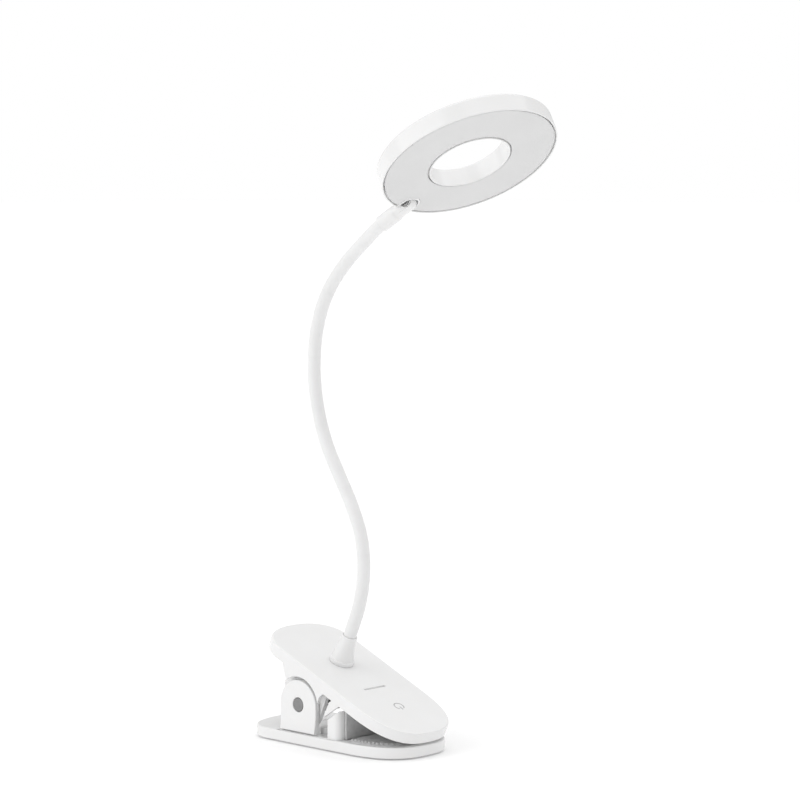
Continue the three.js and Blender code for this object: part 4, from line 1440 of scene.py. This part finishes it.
# %% [markdown]
# ## Screws
#
# Four small screws close each jaw. One is drawn once: a domed head with a cross recess on a plain
# shank. A node tree puts it on four points, so every screw is the same.

# %% Screws
SCREW_HEAD, SCREW_RISE, SCREW_SHANK = 1.9, 0.7, 0.9
LOWER_SCREWS = [(-9.5, -18.0), (-9.5, 18.0), (13.0, -18.0), (13.0, 18.0)]


def screw_tree():
    tree = bpy.data.node_groups.new("screws", "GeometryNodeTree")
    socket_in(tree, "Places", "NodeSocketGeometry")
    socket_in(tree, "Screw", "NodeSocketObject")
    socket_in(tree, "Material", "NodeSocketMaterial")
    tree.interface.new_socket("Geometry", in_out="OUTPUT", socket_type="NodeSocketGeometry")
    nodes, links = tree.nodes, tree.links
    given = nodes.new("NodeGroupInput").outputs
    one = nodes.new("GeometryNodeObjectInfo")
    links.new(given["Screw"], one.inputs["Object"])
    copies = nodes.new("GeometryNodeInstanceOnPoints")
    links.new(given["Places"], copies.inputs["Points"])
    links.new(one.outputs["Geometry"], copies.inputs["Instance"])
    return closed_tree(tree, copies.outputs["Instances"], given["Material"])


SCREWS = screw_tree()


def screw_set(name, places, height, length, where, body, nodes):
    """Screws on four places, heads down."""
    line = [(0, 0), (SCREW_HEAD * 0.6, 0), (SCREW_HEAD * 0.9, 0.12), (SCREW_HEAD, 0.35)]
    line += [(SCREW_HEAD, SCREW_RISE), (SCREW_SHANK, SCREW_RISE), (SCREW_SHANK, length - 0.6)]
    line += [(0.3, length), (0, length)]
    one = turned("screw", line, 40)
    for x, y in ((1.1, 0.22), (0.22, 1.1)):
        carve(one, block("recess", (-x, x), (-y, y), (-1, 0.45)))
    mesh = bpy.data.meshes.new(name)
    mesh.from_pydata([(x, y, height) for x, y in places], [], [])
    obj = bpy.data.objects.new(name, mesh)
    bpy.context.scene.collection.objects.link(obj)
    run_tree(obj, SCREWS, {"Screw": one, "Material": STEEL})
    settle(obj)
    discard(one)
    crisp(obj, 35)
    return register(obj, where, STEEL, body, nodes)


upper_nodes = [f"upper_screw_{i}" for i in range(1, 5)]
lower_nodes = [f"lower_screw_{i}" for i in range(1, 5)]
screw_set("upper_screws", UPPER_SCREWS, UPPER_UNDER + 0.05, 4.2, UPPER_FRAME, "upper_jaw", upper_nodes)
screw_set("lower_screws", LOWER_SCREWS, FLOOR_Z + 0.9, 8.2, LOWER_FRAME, "lower_jaw", lower_nodes)

# %% [markdown]
# ## Status light, touch mark and charging inlet
#
# The status light is a pale bar pressed up through a slot in the cover, almost flush with it. The
# touch mark is a printed power sign, a film thick. The inlet is a drawn steel shell with a tongue
# inside.

# %% Small parts of the upper jaw
TOUCH_AT = 46.5


def status_lens():
    lens = slab("status_lens", capsule(STATUS_AT, STATUS_LENGTH / 2 - 0.6, 0.5), (20.0, UPPER_TOP - 0.02))
    return register(lens, UPPER_FRAME, LAMP_LENS, "upper_jaw", ["status_light"])


def touch_mark():
    """A broken ring with a bar through the gap, on the cover."""
    low, high = UPPER_TOP - 0.05, UPPER_TOP + 0.03
    gap = math.radians(35)
    outer = arc(TOUCH_AT, 0, 3.2, gap, 2 * math.pi - gap, 48)
    inner = arc(TOUCH_AT, 0, 2.6, 2 * math.pi - gap, gap, 48)
    mark = slab("touch_mark", outer + inner, (low, high))
    bar = block("bar", (TOUCH_AT + 0.6, TOUCH_AT + 3.6), (-0.3, 0.3), (low, high))
    carve(mark, bar, "UNION")
    return register(mark, UPPER_FRAME, MARK, "upper_jaw", [])


def charging_inlet():
    rear = -JAW_REAR + 0.45
    shell = inlet_block("charging_inlet", -0.02, rear, INLET_DEEP + 0.0)
    carve(shell, inlet_block("mouth", -0.42, rear - 1, INLET_DEEP - 0.4))
    tongue = block("tongue", (rear + 0.8, INLET_DEEP - 0.2), (-2.8, 2.8), (19.0, 19.55))
    carve(shell, tongue, "UNION")
    crisp(shell, 40)
    return register(shell, UPPER_FRAME, STEEL, "upper_jaw", ["charge_socket"])


status_lens()
touch_mark()
charging_inlet()

# %% [markdown]
# ## Pieces inside
#
# What the covers hide keeps the mesh that it was built with. Each of these gets its own finish, since
# they show when the lamp is taken apart.

# %% Finishes of the inner pieces
INNER_FINISH = {
    "lower_cover": PLASTIC,
    "ballast_plate": STEEL,
    "pivot_bush_1": BRASS,
    "pivot_bush_2": BRASS,
    "battery": FOIL,
    "main_board": GREEN_BOARD,
    "touch_sensor": COPPER,
    "collar_nut": BRASS,
    "light_guide": CLEAR,
    "reflector_sheet": FILM,
    "led_board": WHITE_BOARD,
    "tilt_pin": STEEL,
    "tilt_washer_1": STEEL,
    "tilt_washer_2": STEEL,
}
for name, material in INNER_FINISH.items():
    obj = bpy.data.objects[name]
    if not obj.material_slots:
        obj.data.materials.append(material)
    for slot in obj.material_slots:
        slot.material = material
print("inner pieces:", len(INNER_FINISH))
